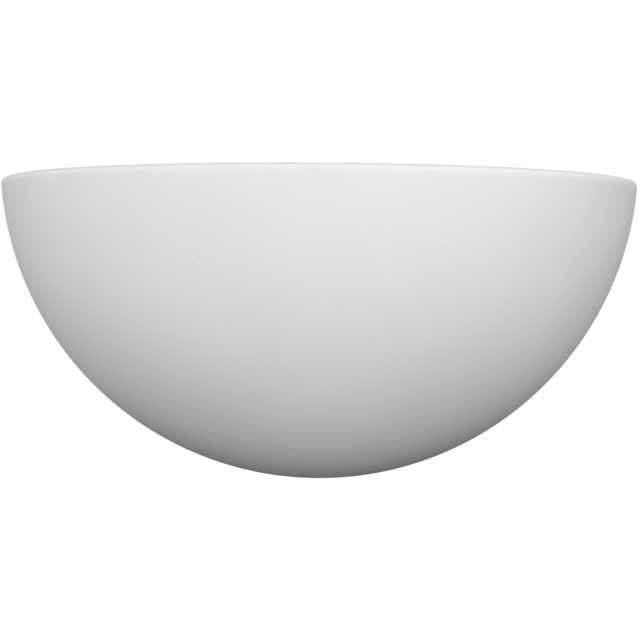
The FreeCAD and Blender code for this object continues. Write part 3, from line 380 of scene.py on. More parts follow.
# %% Sizes of the bowl
BOWL = {
    "sphere radius": 155.34 * MM,
    "sphere height": 55.345 * MM,
    "wall": 6.0 * MM,
    "rim height": 45.0 * MM,
    "lip outer round": 3.0 * MM,
    "lip inner round": 1.5 * MM,
    "back rim width": 8.0 * MM,
    "back rim depth": 8.0 * MM,
    "back rim top": 39.0 * MM,
    "lug across": 106.0 * MM,
    "lug half width": 15.0 * MM,
    "lug back": 1.8 * MM,
    "lug front": 11.0 * MM,
    "hole radius": 2.75 * MM,
    "inside fillet": 4.0 * MM,
    "edge round": 0.8 * MM,
    "voxel": 1.55 * MM,
}
SEATED, SOFTER = 0.7, 1.5


def rounded_both(first, second, radius):
    """What lies in both forms, with its outside corner rounded."""
    corner = length_of(larger(first + radius, 0.0), larger(second + radius, 0.0))
    return smaller(larger(first, second), -radius) + corner


def rounded_either(first, second, radius):
    """What lies in either form, with its inside corner filled."""
    corner = length_of(larger(radius - first, 0.0), larger(radius - second, 0.0))
    return larger(smaller(first, second), radius) - corner


# %% Build the field
bowl_tree, in_bowl, bowl_entry, size = start_tree("ceramic_bowl", BOWL)
x, y, z = place_terms(bowl_tree)
above = z - size["sphere height"]
outside = length_of(x, y, above) - size["sphere radius"]
cavity = -(outside + size["wall"])
top = z - size["rim height"]
shell = larger(rounded_both(outside, top, size["lip outer round"]),
               rounded_both(cavity, top, size["lip inner round"]))

from_middle = length_of(x, above) - size["sphere radius"]
rim_inside = -(from_middle + size["wall"] + size["back rim width"])
rim_edge = size["edge round"] * SOFTER
rim_outside = from_middle + size["wall"] * SEATED
rim = rounded_both(rounded_both(rim_inside, -y - size["back rim depth"], rim_edge),
                   larger(z - size["back rim top"], rim_outside), rim_edge)

reach = larger(abs(x) - size["lug across"], 0.0) - larger(size["lug across"] - abs(x), 0.0)
lug_outline = length_of(smaller(reach, 0.0), z) - size["lug half width"]
lug_middle = (size["lug back"] + size["lug front"]) * 0.5
lug_slab = abs(y + lug_middle) - (size["lug front"] - size["lug back"]) * 0.5
lug = larger(rounded_both(lug_outline, lug_slab, rim_edge), outside + size["wall"] * SEATED)
bore = length_of(abs(x) - size["lug across"], z) - size["hole radius"]
hole = -larger(bore, -y - size["lug front"] - size["edge round"] * 2.0)

body = rounded_either(rounded_either(shell, rim, size["inside fillet"]), lug, size["inside fillet"])
body = rounded_both(body, hole, size["edge round"])
body = rounded_both(body, y, size["edge round"])

# %% Draw the surface of the field
margin = 4.0 * MM
span = size["sphere radius"] + margin
bottom = size["sphere height"] - span
low = vector(bowl_tree, -span, -span, bottom)
high = vector(bowl_tree, span, margin, size["rim height"] + margin)
steps = {
    "Resolution X": span * 2.0 / size["voxel"],
    "Resolution Y": (span + margin) / size["voxel"],
    "Resolution Z": (size["rim height"] + margin - bottom) / size["voxel"],
}
grid = in_bowl("GeometryNodeVolumeCube",
               {"Density": -body, "Background": -1.0, "Min": low, "Max": high, **steps})
skin = in_bowl("GeometryNodeVolumeToMesh", {"Volume": grid, "Threshold": 0.0})
end_tree(bowl_tree, bowl_entry, skin)
print("bowl tree", len(bowl_tree.nodes), "nodes")

# %% [markdown]
# ## The finish of the bowl
# Unglazed ceramic is matt and almost white. Seen close, it has a fine grain from the plaster mould, a few
# pinholes and faint clouds where it dried unevenly. Along the top of the lip and the edge against the wall
# it is painted lighter in patches: a painted highlight, like the line of light that a rounded edge catches.

# %% Make the ceramic
bisque = Finish("bisque", (0.83, 0.825, 0.815), 0.92, Specular_IOR_Level=0.3)
clouds = bisque.noise(0.060, 4.0)
grain = bisque.noise(0.0011, 3.0)
colour = bisque.mix(bisque.spread(clouds, 0.3, 0.7), (0.815, 0.808, 0.796), (0.845, 0.840, 0.832))
specks = bisque.spread(bisque.cells(0.0075), 0.035, 0.055, 1.0, 0.0)
colour = bisque.mix(specks * 0.25, colour, (0.60, 0.58, 0.55))
# Painted highlight: a lighter, slightly less rough band in noisy patches along the top of the lip and the
# wall edge.
near_lip = bisque.spread(bisque.place_along("Z"), 0.0415, 0.0445, smooth=True)
near_wall = bisque.spread(bisque.place_along("Y"), -0.0030, -0.0004, smooth=True)
painted_edge_highlight = larger(near_lip, near_wall) * bisque.spread(bisque.noise(0.007, 2.0), 0.35, 0.60)
bisque.paint(colour=bisque.mix(painted_edge_highlight * 0.6, colour, (0.87, 0.866, 0.858)),
             roughness=bisque.spread(grain, 0.3, 0.7, 0.86, 0.97) - painted_edge_highlight * 0.08)
bisque.bump(bisque.noise(0.018, 2.0), 0.00012)
bisque.bump(grain, 0.00005)
bisque.bump(bisque.spread(bisque.cells(0.009), 0.03, 0.06), 0.00015)

# %% Keep the bowl
bowl = grow("bowl_ceramic", bowl_tree, "bisque", **BOWL)
settle(bowl, "bowl", "bowl")

# %% [markdown]
# ## A lathe made of nodes
# Most of the hardware is turned: nuts, studs, screws, the lampholder's shells and the lamp. A lathe needs
# one outline, drawn from the axis outwards, which is swept round a circle. Two rules then move the skin
# inwards: straight grooves between ridges, for a knurl or grip ribs, and a helix, for a thread. A Boolean
# cuts the slot of a screw. Loose points mark the places where the finished shape is set down, so one tree
# makes six screws as easily as one, and a seeded Random Value turns each to its own angle.

# %% Build the lathe
LATHE = {
    "segments": 64,
    "ridges": 0, "ridge depth": 0.0, "ridge low": 0.0, "ridge high": 0.0,
    "pitch": 1.0, "thread depth": 0.0, "thread low": 0.0, "thread high": 0.0,
    "worked radius": 0.0, "slot width": 0.0, "slot floor": 0.0, "lean": 0.0, "turned by": 0.0,
}
START_RADIUS = 0.05 * MM
RUN_OUT = 0.3 * MM
WELD = 0.0005 * MM
BLADE_LENGTH, BLADE_HEIGHT = 30.0 * MM, 10.0 * MM

lathe_tree, in_lathe, lathe_entry, lathe = start_tree("lathe", LATHE)
is_place = in_lathe("GeometryNodeInputNamedAttribute", {"Name": "place"}, data_type="BOOLEAN")
sorted_input = in_lathe("GeometryNodeSeparateGeometry", {"Geometry": lathe_entry, "Selection": is_place})
outline = in_lathe("GeometryNodeMeshToCurve", {"Mesh": sorted_input.outputs["Inverted"]})
shifted = in_lathe("GeometryNodeSetPosition", {"Geometry": outline, "Offset": (-START_RADIUS, 0.0, 0.0)})
circle = in_lathe("GeometryNodeCurvePrimitiveCircle",
                  {"Resolution": lathe["segments"], "Radius": START_RADIUS})
swept = in_lathe("GeometryNodeCurveToMesh", {"Curve": circle, "Profile Curve": shifted})

x, y, z = place_terms(lathe_tree)
radius = length_of(x, y)
turns = y.math("ARCTAN2", x) / (2.0 * math.pi)


def between(number, low, high, slope):
    """One between two limits, falling to nothing outside them over the slope's length."""
    inside = smaller((number - low) / slope, (high - number) / slope)
    return larger(smaller(inside, 1.0), 0.0)


# %% Cut ridges, threads and slots
ridge_wave = abs((turns * lathe["ridges"] + 100.0).math("FRACT") * 2.0 - 1.0)
ridge_cut = ridge_wave * lathe["ridge depth"] * between(z, lathe["ridge low"], lathe["ridge high"], RUN_OUT)
thread_wave = ((z / lathe["pitch"] - turns) * (2.0 * math.pi)).math("COSINE") * 0.5 + 0.5
thread_cut = thread_wave * lathe["thread depth"] * between(
    z, lathe["thread low"], lathe["thread high"], lathe["pitch"] * 0.5)
worked = (radius - lathe["worked radius"]).math("GREATER_THAN", 0.0)
shrink = 1.0 - (ridge_cut + thread_cut) * worked / larger(radius, START_RADIUS)
moved = vector(lathe_tree, x * shrink, y * shrink, z)
cut = in_lathe("GeometryNodeSetPosition", {"Geometry": swept, "Position": moved})
whole = in_lathe("GeometryNodeMergeByDistance", {"Geometry": cut, "Distance": WELD})
blade_size = vector(lathe_tree, BLADE_LENGTH, lathe["slot width"], BLADE_HEIGHT)
blade = in_lathe("GeometryNodeMeshCube", {"Size": blade_size})
blade_place = vector(lathe_tree, z=lathe["slot floor"] + BLADE_HEIGHT / 2)
blade = in_lathe("GeometryNodeTransform", {"Geometry": blade, "Translation": blade_place})
slotted = in_lathe("GeometryNodeMeshBoolean", {"Mesh 1": whole, "Mesh 2": blade},
                   operation="DIFFERENCE", solver="EXACT")
has_slot = lathe["slot width"].math("GREATER_THAN", 0.0)
chosen = in_lathe("GeometryNodeSwitch", {"Switch": has_slot, "False": whole, "True": slotted},
                  input_type="GEOMETRY")

# %% Set the turned shape down at its places
lean = vector(lathe_tree, lathe["lean"])
placed = in_lathe("GeometryNodeInstanceOnPoints", {
    "Points": sorted_input.outputs["Selection"], "Instance": chosen, "Rotation": lean})
any_turn = in_lathe("FunctionNodeRandomValue", {"Min": 0.0, "Max": lathe["turned by"], "Seed": 5})
own_turn = vector(lathe_tree, z=any_turn.outputs[1])
placed = in_lathe("GeometryNodeRotateInstances",
                  {"Instances": placed, "Rotation": own_turn, "Local Space": True})
end_tree(lathe_tree, lathe_entry, placed)
print("lathe", len(lathe_tree.nodes), "nodes")

# %% [markdown]
# The lathe takes its outline as edges of a small mesh. Python eases the corners as it writes them, and
# puts extra points along the runs that a thread will bend, because only points can move.


# %% Helpers that feed the lathe
def on_axis(point):
    return point.x < 1e-6


def eased(outline, ease, steps):
    """The outline with its corners rounded, apart from those on the axis."""
    points = []
    for index, here in enumerate(outline):
        here = Vector(here)
        before, after = Vector(outline[index - 1]), Vector(outline[(index + 1) % len(outline)])
        if on_axis(here) or ease == 0.0:
            points.append(here)
            continue
        cut = min(ease, 0.4 * (before - here).length, 0.4 * (after - here).length)
        first = here + (before - here).normalized() * cut
        last = here + (after - here).normalized() * cut
        for step in range(steps + 1):
            share = step / steps
            points.append(first * (1 - share) ** 2 + here * 2 * share * (1 - share) + last * share ** 2)
    return points


def with_runs_divided(points, spacing):
    """The same outline with no run longer than the spacing, apart from one along the axis."""
    divided = []
    for index, here in enumerate(points):
        after = points[(index + 1) % len(points)]
        kept = on_axis(here) and on_axis(after)
        pieces = 1 if kept else max(1, math.ceil((after - here).length / spacing))
        divided += [here.lerp(after, step / pieces) for step in range(pieces)]
    return divided


def outward(mesh):
    """Turn a closed mesh so that its faces point outwards."""
    shape = bmesh.new()
    shape.from_mesh(mesh)
    bmesh.ops.recalc_face_normals(shape, faces=shape.faces)
    shape.to_mesh(mesh)
    shape.free()


UNDIVIDED = 1000.0


def turned(name, outline, slot, places=((0, 0, 0),), along="Z", ease=0.15, steps=2, spacing=UNDIVIDED,
           **sizes):
    """Turn an outline of (radius, height) in millimetres, and set it down at each place."""
    points = with_runs_divided(eased(outline, ease, steps), spacing)
    mesh = bpy.data.meshes.new(name)
    places = [Vector(place) * MM for place in places]
    ring = [(point.x * MM, -point.y * MM, 0.0) for point in points]
    runs = [(index, (index + 1) % len(ring)) for index in range(len(ring))]
    edges = [(here, after) for here, after in runs if not (on_axis(points[here]) and on_axis(points[after]))]
    mesh.from_pydata(ring + places, edges, [])
    mark = mesh.attributes.new("place", "BOOLEAN", "POINT")
    mark.data.foreach_set("value", [False] * len(ring) + [True] * len(places))
    sizes["lean"] = math.pi / 2 if along == "Y" else 0.0
    piece = grow(name, lathe_tree, slot, mesh, **sizes)
    outward(piece.data)
    return piece


# %% [markdown]
# ## Metals
# Every metal here is a mirror made dull in its own way. Zinc plating on rolled sheet shows streaks from
# the rolls and a bluish cast that turns yellow in patches. Turned brass is brighter, with brown where
# fingers and air have reached it. The streaks are noise stretched along the sheet.

# %% Make the zinc plated sheet
zinc = Finish("zinc_steel", (0.66, 0.67, 0.68), 0.34, Metallic=1.0)
rolled = zinc.stretched((40.0, 900.0, 900.0))
streaks = zinc.noise(1.0, 4.0, place=rolled)
patches = zinc.noise(0.022, 3.0)
zinc_colour = zinc.mix(zinc.spread(patches, 0.35, 0.65), (0.63, 0.655, 0.69), (0.70, 0.69, 0.635))
zinc_colour = zinc.mix(zinc.spread(streaks, 0.25, 0.75) * 0.35, zinc_colour, (0.78, 0.78, 0.77))
scuffed = zinc.stretched((700.0, 60.0, 260.0), (0.0, 0.5, 0.2))
scuffs = zinc.spread(zinc.noise(1.0, 2.0, place=scuffed), 0.68, 0.74)
zinc.paint(colour=zinc.mix(scuffs * 0.25, zinc_colour, (0.86, 0.86, 0.85)),
           roughness=zinc.spread(streaks + patches * 0.5, 0.4, 1.0, 0.26, 0.46))
zinc.bump(streaks, 0.000012)
zinc.bump(scuffs, -0.0000015)


# %% [markdown]
# Small turned and stamped metal shares one recipe with its own colours: a clean tone, a tarnished tone
# that gathers in patches, and a fine tool grain.


# %% Make the small metals
TOOL_GRAIN = 0.25 * MM


def small_metal(name, clean, tarnished, roughness, patch=4.0 * MM):
    """Turned or stamped metal with tarnish in patches of about this size."""
    metal = Finish(name, clean, roughness, Metallic=1.0)
    stain = metal.noise(patch, 4.0)
    tool = metal.noise(TOOL_GRAIN, 2.0)
    metal.paint(colour=metal.mix(metal.spread(stain, 0.42, 0.72, smooth=True), clean, tarnished),
                roughness=metal.spread(stain + tool * 0.6, 0.5, 1.1, roughness * 0.75, roughness * 1.35))
    metal.bump(tool, 0.00001)


small_metal("stud_steel", (0.64, 0.65, 0.67), (0.56, 0.55, 0.50), 0.30)
small_metal("brass", (0.80, 0.64, 0.36), (0.58, 0.41, 0.19), 0.26)
small_metal("tinned_brass", (0.74, 0.73, 0.69), (0.66, 0.58, 0.40), 0.38)
small_metal("spring_bronze", (0.74, 0.52, 0.32), (0.52, 0.33, 0.20), 0.30)
small_metal("nickel_cap", (0.79, 0.785, 0.77), (0.70, 0.68, 0.62), 0.28, patch=8.0 * MM)


# %% [markdown]
# ## Plastics, rubber and fibre
# Moulded plastics differ in gloss and in how deep light goes. Black phenolic is glossy with faint flow
# marks. The natural polyamide of the terminal block and clip lets light in a little, so it looks waxy.
# Pressed fibre is mottled, and rubber is dull with a grey bloom.


# %% Make the plastics
def moulded(name, colour, second, roughness, flow=0.012, texture=0.0004, depth=0.00002, **sockets):
    """Moulded stuff: flow marks in a second tone, specks of dust and a fine texture."""
    plastic = Finish(name, colour, roughness, **sockets)
    swirl = plastic.noise(flow, 4.0)
    fine = plastic.noise(texture, 2.0)
    dust = plastic.spread(plastic.cells(0.0031), 0.02, 0.05, 1.0, 0.0)
    dusty = tuple(0.5 * part + 0.25 for part in colour)
    tone = plastic.mix(plastic.spread(swirl, 0.35, 0.70, smooth=True), colour, second)
    plastic.paint(colour=plastic.mix(dust * 0.3, tone, dusty),
                  roughness=plastic.spread(fine + swirl * 0.5, 0.45, 1.0, roughness * 0.85, roughness * 1.2))
    plastic.bump(fine, depth)


moulded("phenolic", (0.022, 0.021, 0.020), (0.040, 0.034, 0.030), 0.24, depth=0.000008)
moulded("block_plastic", (0.84, 0.83, 0.77), (0.88, 0.87, 0.82), 0.48,
        Subsurface_Weight=0.15, Subsurface_Scale=0.001)
moulded("clip_nylon", (0.80, 0.80, 0.76), (0.86, 0.86, 0.83), 0.42,
        Subsurface_Weight=0.20, Subsurface_Scale=0.001)
moulded("black_rubber", (0.028, 0.028, 0.029), (0.055, 0.054, 0.053), 0.72, flow=0.003,
        texture=0.00022, depth=0.00004)
moulded("fibre", (0.34, 0.09, 0.055), (0.48, 0.16, 0.10), 0.66, flow=0.0011, texture=0.00030,
        depth=0.00006)
moulded("lamp_housing", (0.86, 0.86, 0.85), (0.89, 0.89, 0.88), 0.28, depth=0.000008)
moulded("black_glass", (0.018, 0.018, 0.024), (0.035, 0.034, 0.040), 0.12, flow=0.003,
        depth=0.000006)
moulded("opal", (0.90, 0.895, 0.88), (0.92, 0.915, 0.90), 0.36, flow=0.02, texture=0.0008,
        depth=0.000012, Subsurface_Weight=0.25, Subsurface_Scale=0.003)

# %% [markdown]
# The lamp's two boards are seen only with the lamp taken apart. The driver board is green solder mask
# over copper, so its colour follows a pattern of tracks; the carrier of the light sources is white.

# %% Make the boards
board = Finish("circuit_board", (0.05, 0.22, 0.11), 0.34)
tracks = board.add("ShaderNodeTexBrick", {
    "Vector": board.stretched((1.0, 0.0, 1.0), (math.pi / 2, 0.0, 0.0)), "Scale": 420.0, "Mortar Size": 0.045,
    "Color1": (0.04, 0.20, 0.10, 1), "Color2": (0.05, 0.24, 0.12, 1), "Mortar": (0.10, 0.36, 0.17, 1)})
board.paint(colour=tracks.outputs["Color"], roughness=board.spread(board.noise(0.0012), 0.3, 0.7, 0.28, 0.42))
board.bump(Term(board.tree, tracks.outputs["Fac"]), 0.00003)
moulded("led_board", (0.84, 0.84, 0.83), (0.88, 0.88, 0.87), 0.40)

# %% [markdown]
# ## Eased edges
# Stamped and moulded parts that aren't turned keep the shape of their solid. A real edge always catches a
# line of light, though, because it is rounded by a few hundredths to tenths of a millimetre. So a copy of
# the solid's mesh is merged, its flat faces are joined again, and a Bevel modifier rounds the edges.


# %% A helper for eased solids
FLAT, SHARP = math.radians(0.6), math.radians(32.0)


def dressed(node, body, slot, ease):
    """A copy of a node's mesh with its edges eased by this many millimetres, in place of the node."""
    mesh = NODES[node].data.copy()
    shape = bmesh.new()
    shape.from_mesh(mesh)
    bmesh.ops.remove_doubles(shape, verts=shape.verts, dist=WELD)
    bmesh.ops.dissolve_limit(shape, angle_limit=FLAT, verts=shape.verts, edges=shape.edges)
    shape.to_mesh(mesh)
    shape.free()
    mesh.materials.clear()
    mesh.materials.append(FINISHES[slot])
    piece = new_piece(f"{node}_eased", mesh)
    bevel = piece.modifiers.new("ease", "BEVEL")
    bevel.width = ease * MM
    bevel.segments = 2
    bevel.limit_method = "ANGLE"
    bevel.angle_limit = SHARP
    piece.modifiers.new("shading", "WEIGHTED_NORMAL").keep_sharp = True
    mesh.shade_smooth()
    keep_result(piece)
    settle(piece, body, node)
    print(piece.name, len(piece.data.polygons), "faces")


# %% [markdown]
# ## Bracket and arm
# The bracket is punched from zinc plated sheet, with a long strap for the two studs and a plate for the
# arm. The arm is a bent strip that carries the lampholder on its level shelf.

# %% Dress the stamped and moulded parts
for node, slot, ease in (
    ("wall_bracket", "zinc_steel", 0.22),
    ("bracket_arm", "zinc_steel", 0.30),
    ("earth_ring_terminal", "tinned_brass", 0.12),
    ("earth_nut", "brass", 0.20),
    ("nipple_locknut", "zinc_steel", 0.30),
    ("terminal_block", "block_plastic", 0.20),
    ("terminal_inserts", "brass", 0.10),
    ("lead_clip", "clip_nylon", 0.20),
    ("holder_insert", "phenolic", 0.20),
    ("holder_terminals", "brass", 0.15),
):
    dressed(node, "bracket", slot, ease)
dressed("lamp_driver_board", "lamp", "circuit_board", 0.10)

# %% [markdown]
# ## Studs, rivets, nuts and screws
# The studs are pressed into the strap and threaded M4, the earth stud likewise. The thumb nuts are brass
# with a straight knurl, so that they can be done up by hand from inside the bowl. Fibre washers keep the
# brass off the ceramic. The slotted screws were driven home by hand, so no two slots line up.

# %% Turn the bracket's hardware
STUD_PLACES = ((-106.0, 0.0, 0.0), (106.0, 0.0, 0.0))


def stud(name, length, places):
    """M4 studs of this length, pressed in from behind."""
    outline = [(0, 0), (3.5, 0), (3.5, 1.5), (2.0, 1.5), (2.0, length - 0.5), (1.5, length), (0, length)]
    return turned(name, outline, "stud_steel", places, "Y", ease=0.08, steps=1, spacing=0.12, segments=32,
                  pitch=0.7 * MM, thread_depth=0.26 * MM, thread_low=2.0 * MM,
                  thread_high=(length - 0.2) * MM, worked_radius=1.4 * MM)


settle(stud("stud_pair", 24.0, STUD_PLACES), "bracket", "mounting_studs")
settle(stud("stud_earth", 11.0, ((-30.0, 0.0, -28.0),)), "bracket", "earth_stud")

rivet = [(0, 0), (2.0, 0), (2.0, 3.5), (3.5, 3.5), (3.3, 4.1), (2.3, 4.7), (1.1, 4.88), (0, 4.9)]
settle(turned("rivet_pair", rivet, "stud_steel", ((0, 0, -27.0), (0, 0, -38.0)), "Y", ease=0.3, steps=3),
       "bracket", "arm_rivets")

nut = [(2.05, 0), (4.0, 0), (4.0, 2.5), (5.4, 2.5), (6.0, 3.1), (6.0, 7.4), (5.4, 8.0), (2.5, 8.0),
       (2.05, 7.6)]
for side, across in (("left", -106.0), ("right", 106.0)):
    knurled = turned(f"thumb_nut_{side}_knurled", nut, "brass", ((across, -12.0, 0.0),), "Y", segments=144,
                     ridges=36, ridge_depth=0.35 * MM, ridge_low=2.6 * MM, ridge_high=7.9 * MM,
                     worked_radius=5.3 * MM)
    settle(knurled, f"{side}_nut", f"thumb_nut_{side}")

washer = [(2.3, 0), (5.5, 0), (5.5, 1.0), (2.3, 1.0)]
settle(turned("fibre_washer_pair", washer, "fibre", ((-106.0, -11.0, 0.0), (106.0, -11.0, 0.0)), "Y"),
       "bowl", "ear_washers")

grommet = [(4.5, 0.2), (9.5, 0.2), (9.5, 2.0), (6.95, 2.0), (6.95, 3.5), (9.5, 3.5), (8.6, 5.3),
           (4.5, 5.3)]
settle(turned("grommet_ring", grommet, "black_rubber", along="Y", ease=0.7, steps=4, segments=96),
       "bracket", "cable_grommet")


# %% Turn the slotted screws
def slotted_screws(name, shank, head, cut, pitch, places, slot):
    """Cheese head screws from (radius, length) of the shank and head and (width, depth) of the slot."""
    (thin, shank_length), (wide, head_length), (width, depth) = shank, head, cut
    top = shank_length + head_length
    outline = [(0, 0), (thin * 0.75, 0), (thin, 0.3), (thin, shank_length), (wide, shank_length),
               (wide, top - 0.35), (wide * 0.82, top - 0.08), (0, top)]
    return turned(name, outline, slot, places, "Y", ease=0.08, steps=1, spacing=pitch / 5.0, segments=32,
                  pitch=pitch * MM, thread_depth=pitch * 0.5 * MM, thread_low=0.3 * MM,
                  thread_high=(shank_length - 0.1) * MM, worked_radius=thin * 0.7 * MM,
                  slot_width=width * MM, slot_floor=(top - depth) * MM, turned_by=2.0 * math.pi)


POLES = [(across, -8.5, height) for across in (50.0, 62.0, 74.0) for height in (-4.2, 4.2)]
BLOCK_HOLES = [(56.0, 0.0, 0.0), (68.0, 0.0, 0.0)]
HOLDER_POLES = [(-4.0, -53.0, -50.0), (4.0, -53.0, -50.0)]
GRUB_PLACE = [(0.0, -57.05, -60.75)]
for name, shank, head, cut, pitch, places, slot, node in (
    ("pole_screws", (1.25, 3.5), (1.7, 2.3), (0.6, 0.7), 0.45, POLES, "stud_steel", "terminal_screws"),
    ("fixing_screws", (1.45, 6.5), (2.4, 2.0), (0.7, 0.9), 0.5, BLOCK_HOLES, "stud_steel", "block_screws"),
    ("terminal_screw_pair", (0.95, 2.0), (1.8, 1.3), (0.5, 0.6), 0.4, HOLDER_POLES, "brass",
     "holder_terminal_screws"),
    ("grub_screw", (1.5, 4.5), (1.5, 2.5), (0.6, 0.7), 0.5, GRUB_PLACE, "stud_steel", "cap_grub_screw"),
):
    settle(slotted_screws(name, shank, head, cut, pitch, places, slot), "bracket", node)

# %% [markdown]
# ## Toothed washers
# A toothed washer keeps a nut from working loose: its teeth are twisted, so their corners bite. Each
# tooth is one instance, turned about the middle by its index, and the ring comes from a curve circle. The
# stock is thinner than the washer, by the flatness, because the twisted teeth make up the rest.

# %% Build the washer tree
WASHER = {"teeth": 10, "outer radius": 4.0 * MM, "bore radius": 2.05 * MM, "thickness": 0.6 * MM,
          "twist": math.radians(14.0), "lean": 0.0}
washer_tree, in_washer, washer_entry, washer_size = start_tree("toothed_washer", WASHER)
TOOTH_SHARE, TOOTH_REACH, RING_SHARE, FLATNESS = 0.38, 0.62, 0.5, 0.42
gap = washer_size["outer radius"] - washer_size["bore radius"]
tooth_length = gap * TOOTH_REACH
tooth_width = washer_size["outer radius"] * (2.0 * math.pi * TOOTH_SHARE) / washer_size["teeth"]
tooth_size = vector(washer_tree, tooth_length, tooth_width, washer_size["thickness"] * FLATNESS)
tooth = in_washer("GeometryNodeMeshCube",
                  {"Size": tooth_size, "Vertices X": 4, "Vertices Y": 3, "Vertices Z": 2})
tooth_middle = washer_size["outer radius"] - tooth_length * 0.5 - 0.05 * MM
tooth_place = vector(washer_tree, tooth_middle)
tooth_twist = vector(washer_tree, washer_size["twist"])
tooth = in_washer("GeometryNodeTransform", {
    "Geometry": tooth, "Translation": tooth_place, "Rotation": tooth_twist})
stack = in_washer("GeometryNodeMeshLine", {"Count": washer_size["teeth"], "Offset": (0.0, 0.0, 0.0)})
number = Term(washer_tree, in_washer("GeometryNodeInputIndex").outputs[0])
way = vector(washer_tree, z=number * (2.0 * math.pi) / washer_size["teeth"])
teeth = in_washer("GeometryNodeInstanceOnPoints", {"Points": stack, "Instance": tooth, "Rotation": way})

# %% Join the washer's teeth and ring
ring_middle = washer_size["bore radius"] + gap * (RING_SHARE / 2)
ring_path = in_washer("GeometryNodeCurvePrimitiveCircle", {"Resolution": 96, "Radius": ring_middle})
ring_section = in_washer("GeometryNodeCurvePrimitiveQuadrilateral",
                         {"Width": gap * RING_SHARE, "Height": washer_size["thickness"] * FLATNESS})
band = in_washer("GeometryNodeCurveToMesh", {"Curve": ring_path, "Profile Curve": ring_section})
real_teeth = in_washer("GeometryNodeRealizeInstances", {"Geometry": teeth})
joined = in_washer("GeometryNodeMeshBoolean", {"Mesh 2": band}, operation="UNION", solver="EXACT")
washer_tree.links.new(real_teeth.outputs[0], joined.inputs["Mesh 2"])
washer_lean = vector(washer_tree, washer_size["lean"])
leaning = in_washer("GeometryNodeTransform", {"Geometry": joined, "Rotation": washer_lean})
end_tree(washer_tree, washer_entry, leaning, smooth=False)


# %% Cut the toothed washers
def toothed(name, middle, node, **sizes):
    """A toothed washer whose middle lies here, in millimetres."""
    piece = grow(name, washer_tree, "stud_steel", **sizes)
    piece.data.transform(Matrix.Translation(Vector(middle) * MM))
    outward(piece.data)
    settle(piece, "bracket", node)


toothed("earth_washer_toothed", (-30.0, -2.6, -28.0), "earth_lock_washer", lean=math.pi / 2)
toothed("nipple_washer_toothed", (0.0, -52.0, -65.8), "nipple_washer",
        teeth=16, outer_radius=8.5 * MM, bore_radius=5.05 * MM)

# %% [markdown]
# ## Lampholder
# The holder is two shells of black phenolic that screw together, ribbed so that a hand can turn them. The
# lower one is locked on the threaded nipple by a grub screw, so its wall gets a round hole by a Boolean.
# In the mouth sits the brass sleeve, whose rolled thread takes the lamp.

# %% Turn the lampholder
HOLDER = ((0.0, -52.0, 0.0),)
GRIP = {"segments": 180, "ridges": 45, "ridge_depth": 0.35 * MM, "worked_radius": 13.4 * MM}
LAMP_THREAD = {"segments": 64, "pitch": 2.82 * MM}

nipple = [(4.0, -71.0), (5.0, -71.0), (5.0, -58.0), (4.0, -58.0)]
nipple_piece = turned("nipple_threaded", nipple, "stud_steel", HOLDER, steps=1, spacing=0.17, segments=48,
                      pitch=1.0 * MM, thread_depth=0.4 * MM, thread_low=-70.6 * MM,
                      thread_high=-58.4 * MM, worked_radius=4.5 * MM)
settle(nipple_piece, "bracket", "holder_nipple")

cap = [(5.05, -63.5), (13.0, -63.5), (14.0, -62.5), (14.0, -45.5), (12.4, -45.5), (12.4, -58.0),
       (5.05, -58.0)]
cap_piece = turned("holder_cap_ribbed", cap, "phenolic", HOLDER, ease=0.4, steps=3, spacing=1.2,
                   ridge_low=-57.5 * MM, ridge_high=-47.0 * MM, **GRIP)

# %% Drill the cap for its grub screw
GRUB_RADIUS, DRILL_LENGTH = 1.55 * MM, 12.0 * MM
DRILL_PLACE = Vector((0.0, -62.5, -60.75)) * MM
drill = new_piece("grub_drill")
drill_shape = bmesh.new()
bmesh.ops.create_cone(drill_shape, cap_ends=True, segments=40, radius1=GRUB_RADIUS, radius2=GRUB_RADIUS,
                      depth=DRILL_LENGTH)
drill_shape.transform(Euler((math.pi / 2, 0.0, 0.0)).to_matrix().to_4x4())
bmesh.ops.translate(drill_shape, verts=drill_shape.verts, vec=DRILL_PLACE)
drill_shape.to_mesh(drill.data)
drill_shape.free()
drilled = cap_piece.modifiers.new("grub hole", "BOOLEAN")
drilled.object = drill
drilled.solver = "EXACT"
keep_result(cap_piece)
bpy.data.objects.remove(drill)
settle(cap_piece, "bracket", "holder_cap")

# %% Turn the skirt, the sleeve and the contact
skirt = [(11.2, -50.5), (12.35, -50.5), (12.35, -45.5), (14.0, -45.5), (14.0, -16.5), (13.0, -15.5),
         (7.9, -15.5), (7.9, -17.5), (11.9, -17.5), (11.9, -42.0), (10.2, -42.0), (10.2, -43.5),
         (11.2, -43.5)]
skirt_piece = turned("holder_skirt_ribbed", skirt, "phenolic", HOLDER, ease=0.35, steps=3, spacing=1.2,
                     ridge_low=-43.5 * MM, ridge_high=-19.5 * MM, **GRIP)
settle(skirt_piece, "bracket", "holder_skirt")

sleeve = [(7.3, -43.5), (7.6, -43.5), (7.6, -18.0), (7.3, -18.0)]
sleeve_piece = turned("sleeve_rolled", sleeve, "brass", HOLDER, ease=0.06, steps=1, spacing=0.25,
                      thread_depth=0.2 * MM, thread_low=-42.5 * MM, thread_high=-19.5 * MM,
                      worked_radius=7.0 * MM, **LAMP_THREAD)
settle(sleeve_piece, "bracket", "thread_sleeve")

contact = [(0, -47.2), (1.2, -47.2), (1.2, -43.5), (3.0, -43.5), (1.5, -41.5), (0, -41.5)]
settle(turned("contact_spring", contact, "spring_bronze", HOLDER, ease=0.2, steps=3, segments=48),
       "bracket", "centre_contact")

# %% [markdown]
# ## The lamp
# A small globe lamp: an opal globe on a white housing, a nickel plated screw cap with a rolled thread,
# and black glass round the contact at the tip. The globe's outline is an arc, so it is written as points
# worked out from its radius.

# %% Turn the lamp
LAMP_CENTRE, GLOBE_RADIUS, GLOBE_WALL, GLOBE_BASE = 16.2, 22.5, 1.2, 4.0


